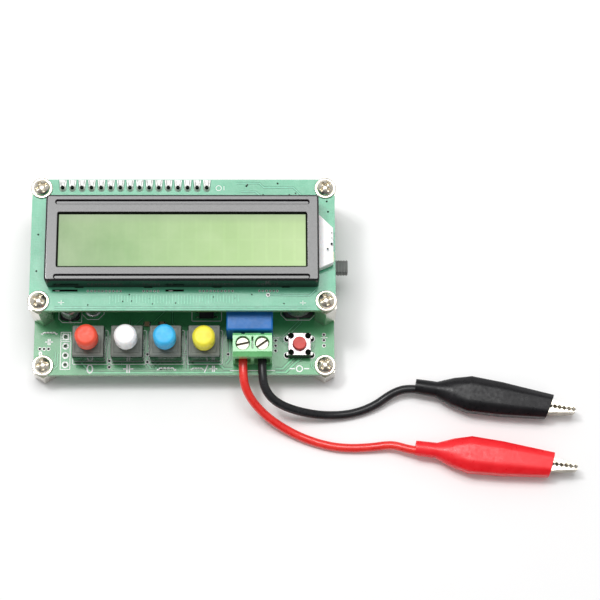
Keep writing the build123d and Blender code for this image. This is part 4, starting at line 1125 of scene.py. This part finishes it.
def make_tact_details(finish):
    """Dark rivet heads on the tact button's cover and rings about its four legs."""
    _, high, middle, _ = footprint("function_button_cover")
    rivet_reach, leg_reach = 2.25, 3.25
    profile = [(0.78, high.z), (0.78, high.z + 0.2), (0.68, high.z + 0.3), (0.3, high.z + 0.3)]
    profile.append((0.22, high.z + 0.22))
    heads, rings = bmesh.new(), bmesh.new()
    for side_x in (-1, 1):
        for side_y in (-1, 1):
            y = middle[1] + side_y * rivet_reach
            lathe(heads, profile, (middle[0] + side_x * rivet_reach, y), 28)
            leg = (middle[0] + side_x * leg_reach, y)
            washer(rings, leg, 0.72, 0.95, MAIN_TOP + 0.01)
            disc(heads, leg, 0.72, MAIN_TOP, 0.03, 28)
    piece("function_button_rivets", heads, finish["hole"])
    piece("function_button_pads", rings, finish["ink"])


def soft_copy(node, material):
    """A CAD node's shape as a separate piece, with the node hidden."""
    made = bpy.data.objects.new(f"{node}_soft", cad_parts[node].data.copy())
    made.data.materials.clear()
    made.data.materials.append(material)
    bpy.context.scene.collection.objects.link(made)
    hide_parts(node)
    return made


def make_springs(finish):
    """Return springs and the snap dome, as separate copies of their CAD shapes."""
    pressed = [(f"{name}_spring", f"{name}_press", "spring") for name in SWITCHES if name != "mode"]
    for node, joint, kind in pressed + [("function_button_dome", "function_press", "steel")]:
        soft = soft_copy(node, finish[kind])
        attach(soft, "root")
        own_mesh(soft)
    # the mode switch rests latched down, and its spring is baked in place rather than carried by a body
    soft = soft_copy("mode_spring", finish["spring"])
    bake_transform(soft)


# ------------------------------------------------------------------ clips and leads
CLIP_PLACES = {"red": ((61.4, -44.1), -7.4), "black": ((61.75, -27.3), -9.2)}
CLIP_Z = 3.5
LEAD_OFFSET = (-0.6, -0.4)
# distance along the boot, half width across the jaws and half thickness
BOOT_STATIONS = (
    (0.0, 2.0, 2.0),
    (5.6, 2.12, 2.12),
    (10.0, 3.85, 3.05),
    (14.5, 4.85, 3.42),
    (23.0, 4.5, 3.4),
    (36.9, 3.2, 2.95),
)
BOOT_MOUTH = {"red": (36.3, 0.5), "black": (36.2, 0.7)}
BOOT_WALL = 0.62
BOOT_BEVEL = 0.46
BOOT_CRISPNESS = 22
BOOT_POINTS = 96


def clip_point(colour, u, v, w):
    """A point in a clip's own axes: u towards the mouth, v across the jaws, w up."""
    (x, y), heading = CLIP_PLACES[colour]
    c, s = cos(radians(heading)), sin(radians(heading))
    return (x + u * c - v * s, y + u * s + v * c, CLIP_Z + w)


def boot_size(u, inset=0.0):
    """Half width and half thickness of the boot at u, and how far its section is squared off."""
    for (u0, v0, w0), (u1, v1, w1) in zip(BOOT_STATIONS, BOOT_STATIONS[1:]):
        if u <= u1:
            break
    share = max(0.0, (u - u0) / (u1 - u0))
    square = min(1.0, max(0.0, (u - 8.0) / 6.5))
    return v0 + (v1 - v0) * share - inset, w0 + (w1 - w0) * share - inset, square


def boot_ring(colour, u, half_v, half_w, square, slant=0.0, shift=(0.0, 0.0)):
    """A cross-section between a circle (square 0) and a rectangle with cut corners (square 1)."""
    points = []
    for i in range(BOOT_POINTS):
        angle = 2 * pi * (i + 0.5) / BOOT_POINTS
        c, s = cos(angle), sin(angle)
        flats = (abs(c), abs(s), (abs(c) + abs(s)) / (2 - BOOT_BEVEL))
        cut = sum(flat**BOOT_CRISPNESS for flat in flats) ** (-1 / BOOT_CRISPNESS)
        reach = 1 + (cut - 1) * square
        v, w = half_v * reach * c, half_w * reach * s
        points.append(clip_point(colour, u + slant * v / half_v, v + shift[0], w + shift[1]))
    return points


def make_boot(colour, finish):
    """Soft hollow boot: round tail, flat facets from the bulge on and a slanting open mouth."""
    mouth, slant = BOOT_MOUTH[colour]
    lean_start = 26.0

    def ring(u, wall=0.0):
        lean = slant * max(0.0, (u - lean_start) / (mouth - lean_start))
        return boot_ring(colour, u, *boot_size(u, wall), lean)

    places = sorted({round(mouth * i / 60, 3) for i in range(1, 61)} | {u for u, _, _ in BOOT_STATIONS[1:-1]})
    loops = [
        boot_ring(colour, 3.2, 1.22, 1.22, 0.0, shift=LEAD_OFFSET),
        boot_ring(colour, 0.05, 1.3, 1.3, 0.0, shift=LEAD_OFFSET),
        boot_ring(colour, 0.0, 1.95, 1.95, 0.0),
    ]
    loops += [ring(u) for u in places]
    loops += [ring(u, BOOT_WALL) for u in (mouth, mouth - 0.4, 34.0, 29.0, 24.0)]
    bm = bmesh.new()
    nest(bm, loops)
    boot = free_piece(f"{colour}_boot", bm, finish[f"{colour}_vinyl"], 60)
    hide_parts(f"{colour}_clip_boot")
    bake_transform(boot)
    return boot


def make_clip_spring(colour, finish):
    """Torsion spring, as a copy of its CAD shape baked in place."""
    soft = soft_copy(f"{colour}_clip_spring", finish["spring"])
    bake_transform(soft)
    return soft


LEAD_RADIUS = 1.15
# nodes that hold pieces of both leads are counted on one of them
SHARED_CORD_NODES = {"red": ("clip_pivot_pins", "lead_cores"), "black": ()}
LEAD_START_Y = -21.2
LEAD_END_U = 2.9
TAIL_RUN = 4.5
WIRE_Z = 10.6
TERMINAL_X = {"red": 15.66, "black": 20.74}
LEAD_ROUTES = {
    "red": [
        (15.66, -25.6, 10.6),
        (16.2, -28.9, 9.6),
        (18.0, -32.0, 7.2),
        (21.3, -35.2, 4.6),
        (25.9, -38.2, 2.4),
        (31.8, -41.1, 1.3),
        (38.6, -43.2, 1.2),
        (44.4, -43.75, 1.2),
        (50.0, -43.5, 1.4),
        (55.4, -42.9, 2.4),
    ],
    "black": [
        (20.74, -25.9, 10.6),
        (21.4, -29.3, 9.9),
        (23.6, -32.1, 8.4),
        (27.3, -33.7, 6.2),
        (32.2, -34.6, 3.7),
        (38.0, -35.0, 1.9),
        (44.6, -34.5, 1.2),
        (50.7, -32.4, 1.5),
        (55.6, -28.9, 2.5),
    ],
}


def make_lead(colour, finish, soft_parts):
    """One free lead, as a smooth spline from its terminal to its clip."""
    points = [(TERMINAL_X[colour], LEAD_START_Y, WIRE_Z)] + LEAD_ROUTES[colour]
    points += [clip_point(colour, u, *LEAD_OFFSET) for u in (LEAD_END_U - TAIL_RUN, LEAD_END_U)]
    curve = bpy.data.curves.new(f"{colour}_wire", "CURVE")
    curve.dimensions = "3D"
    spline = curve.splines.new("NURBS")
    spline.points.add(len(points) - 1)
    for control, point in zip(spline.points, points):
        control.co = (*[part * MM for part in point], 1.0)
    spline.order_u = 3
    spline.use_endpoint_u = True
    spline.resolution_u = 12
    curve.bevel_depth = LEAD_RADIUS * MM
    curve.bevel_resolution = 8
    curve.use_fill_caps = True
    curve.materials.append(finish[f"{colour}_wire"])
    wire = bpy.data.objects.new(f"{colour}_wire", curve)
    bpy.context.scene.collection.objects.link(wire)
    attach(wire, "root")
    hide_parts(f"{colour}_lead")
    clip = soft_parts + [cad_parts[f"{colour}_clip_{part}"] for part in ("fixed_jaw", "moving_jaw")]
    clip += [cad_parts[node] for node in SHARED_CORD_NODES[colour]]


# ------------------------------------------------------------------ camera, lights and floor
# lamps and the floor are placed in metres
LAMP_TARGET = (0.02, 0, 0.01)


def make_camera():
    """A long lens above and in front of the meter."""
    data = bpy.data.cameras.new("camera")
    data.sensor_width = 36.0
    data.lens = 111.77
    data.clip_start = 0.01
    data.clip_end = 10.0
    camera = bpy.data.objects.new("camera", data)
    turn = Matrix.Rotation(radians(15.48), 4, "X") @ Matrix.Rotation(radians(-1.127), 4, "Y")
    turn = turn @ Matrix.Rotation(radians(-0.056), 4, "Z")
    camera.matrix_world = Matrix.Translation(Vector((21.07, -138.04, 490.0)) * MM) @ turn
    bpy.context.scene.collection.objects.link(camera)
    bpy.context.scene.camera = camera


def make_light(name, place, size, power):
    """A soft rectangular lamp aimed at the middle of the meter."""
    data = bpy.data.lights.new(name, "AREA")
    data.shape = "RECTANGLE"
    data.size, data.size_y = size
    data.energy = power
    lamp = bpy.data.objects.new(name, data)
    lamp.location = place
    lamp.rotation_mode = "QUATERNION"
    lamp.rotation_quaternion = (Vector(LAMP_TARGET) - Vector(place)).to_track_quat("-Z", "Y")
    bpy.context.scene.collection.objects.link(lamp)


def make_stage():
    """A pale floor, a sky that is darker towards the front, and two soft lamps."""
    world = bpy.data.worlds.new("studio")
    world.use_nodes = True
    nodes, links = world.node_tree.nodes, world.node_tree.links
    place = nodes.new("ShaderNodeTexCoord")
    split = nodes.new("ShaderNodeSeparateXYZ")
    fade = nodes.new("ShaderNodeMapRange")
    for label, value in (("From Min", -0.9), ("From Max", -0.3), ("To Min", 0.06), ("To Max", 0.52)):
        fade.inputs[label].default_value = value
    links.new(place.outputs["Generated"], split.inputs[0])
    links.new(split.outputs["Y"], fade.inputs["Value"])
    links.new(fade.outputs["Result"], nodes["Background"].inputs["Strength"])
    nodes["Background"].inputs["Color"].default_value = (1, 1, 1, 1)
    bpy.context.scene.world = world
    bpy.context.scene.view_settings.view_transform = "Standard"
    make_light("overhead", (0.03, 0.19, 0.75), (0.45, 0.36), 2.8)
    make_light("key", (-0.25, 0.17, 0.74), (0.12, 0.12), 1.7)

    f = Finish("floor_paper", Roughness=0.7)
    f.feed("Base Color", f.ramp(f.noise(0.02, 2.0), (0.3, (249, 249, 249)), (0.7, (252, 252, 252))))
    mesh = bpy.data.meshes.new("floor")
    reach = 3.0
    corners = [(-reach, -reach, 0), (reach, -reach, 0), (reach, reach, 0), (-reach, reach, 0)]
    mesh.from_pydata(corners, [], [(0, 1, 2, 3)])
    mesh.materials.append(f.material)
    floor = bpy.data.objects.new("floor", mesh)
    bpy.context.scene.collection.objects.link(floor)


# ------------------------------------------------------------------ the whole model
def main():
    make_camera()
    finish = make_finishes()
    for colour in LEADS:
        make_lead(colour, finish, [make_boot(colour, finish), make_clip_spring(colour, finish)])

    dress("main_board", finish["board"])
    dress("lcd_board", finish["lcd_board"])
    dress("lcd_glass", finish["glass"])
    dress("lcd_backlight", finish["white_plastic"], 0.15)
    dress("lcd_zebra_strips", finish["rubber"])
    for node in ("header_strip", "header_socket", "dc_jack_housing", "power_switch_base"):
        dress(node, finish["black_plastic"], 0.12)
    dress("function_button_base", finish["black_plastic"], 0.08)
    dress("header_pins", finish["pin"])
    dress("soldered_terminals", finish["solder"])
    for node in ("lcd_standoffs", "foot_standoffs", "standoff_nuts"):
        dress(node, finish["nickel"], 0.1)
    dress("function_button_cover", finish["plate"], 0.05)
    dress("power_switch_shell", finish["steel"], 0.05)
    dress("function_button_cap", finish["tact_red"])
    dress("terminal_housing", finish["green_plastic"], 0.12)
    for colour in LEADS:
        dress(f"{colour}_terminal_screw", finish["slot_shaded_screw"], 0.08)
        dress(f"{colour}_terminal_clamp", finish["nickel"], 0.05)
        dress(f"{colour}_clip_fixed_jaw", finish["jaw_nickel"], 0.06)
        dress(f"{colour}_clip_moving_jaw", finish["jaw_nickel"], 0.06)
    dress("clip_pivot_pins", finish["nickel"], 0.08)
    dress("lead_cores", finish["copper"])

    make_bezel(finish)
    make_screws(finish)
    make_traces(finish)
    make_lcd_board_details(finish)
    make_main_board_details(finish)
    for name in SWITCHES:
        make_switch(name, finish)
    make_relay(finish)
    make_capacitors(finish)
    make_crystal(finish)
    make_chips(finish)
    make_power_knob(finish)
    make_backlight_joints(finish)
    make_tact_details(finish)
    make_springs(finish)
    make_stage()


main()
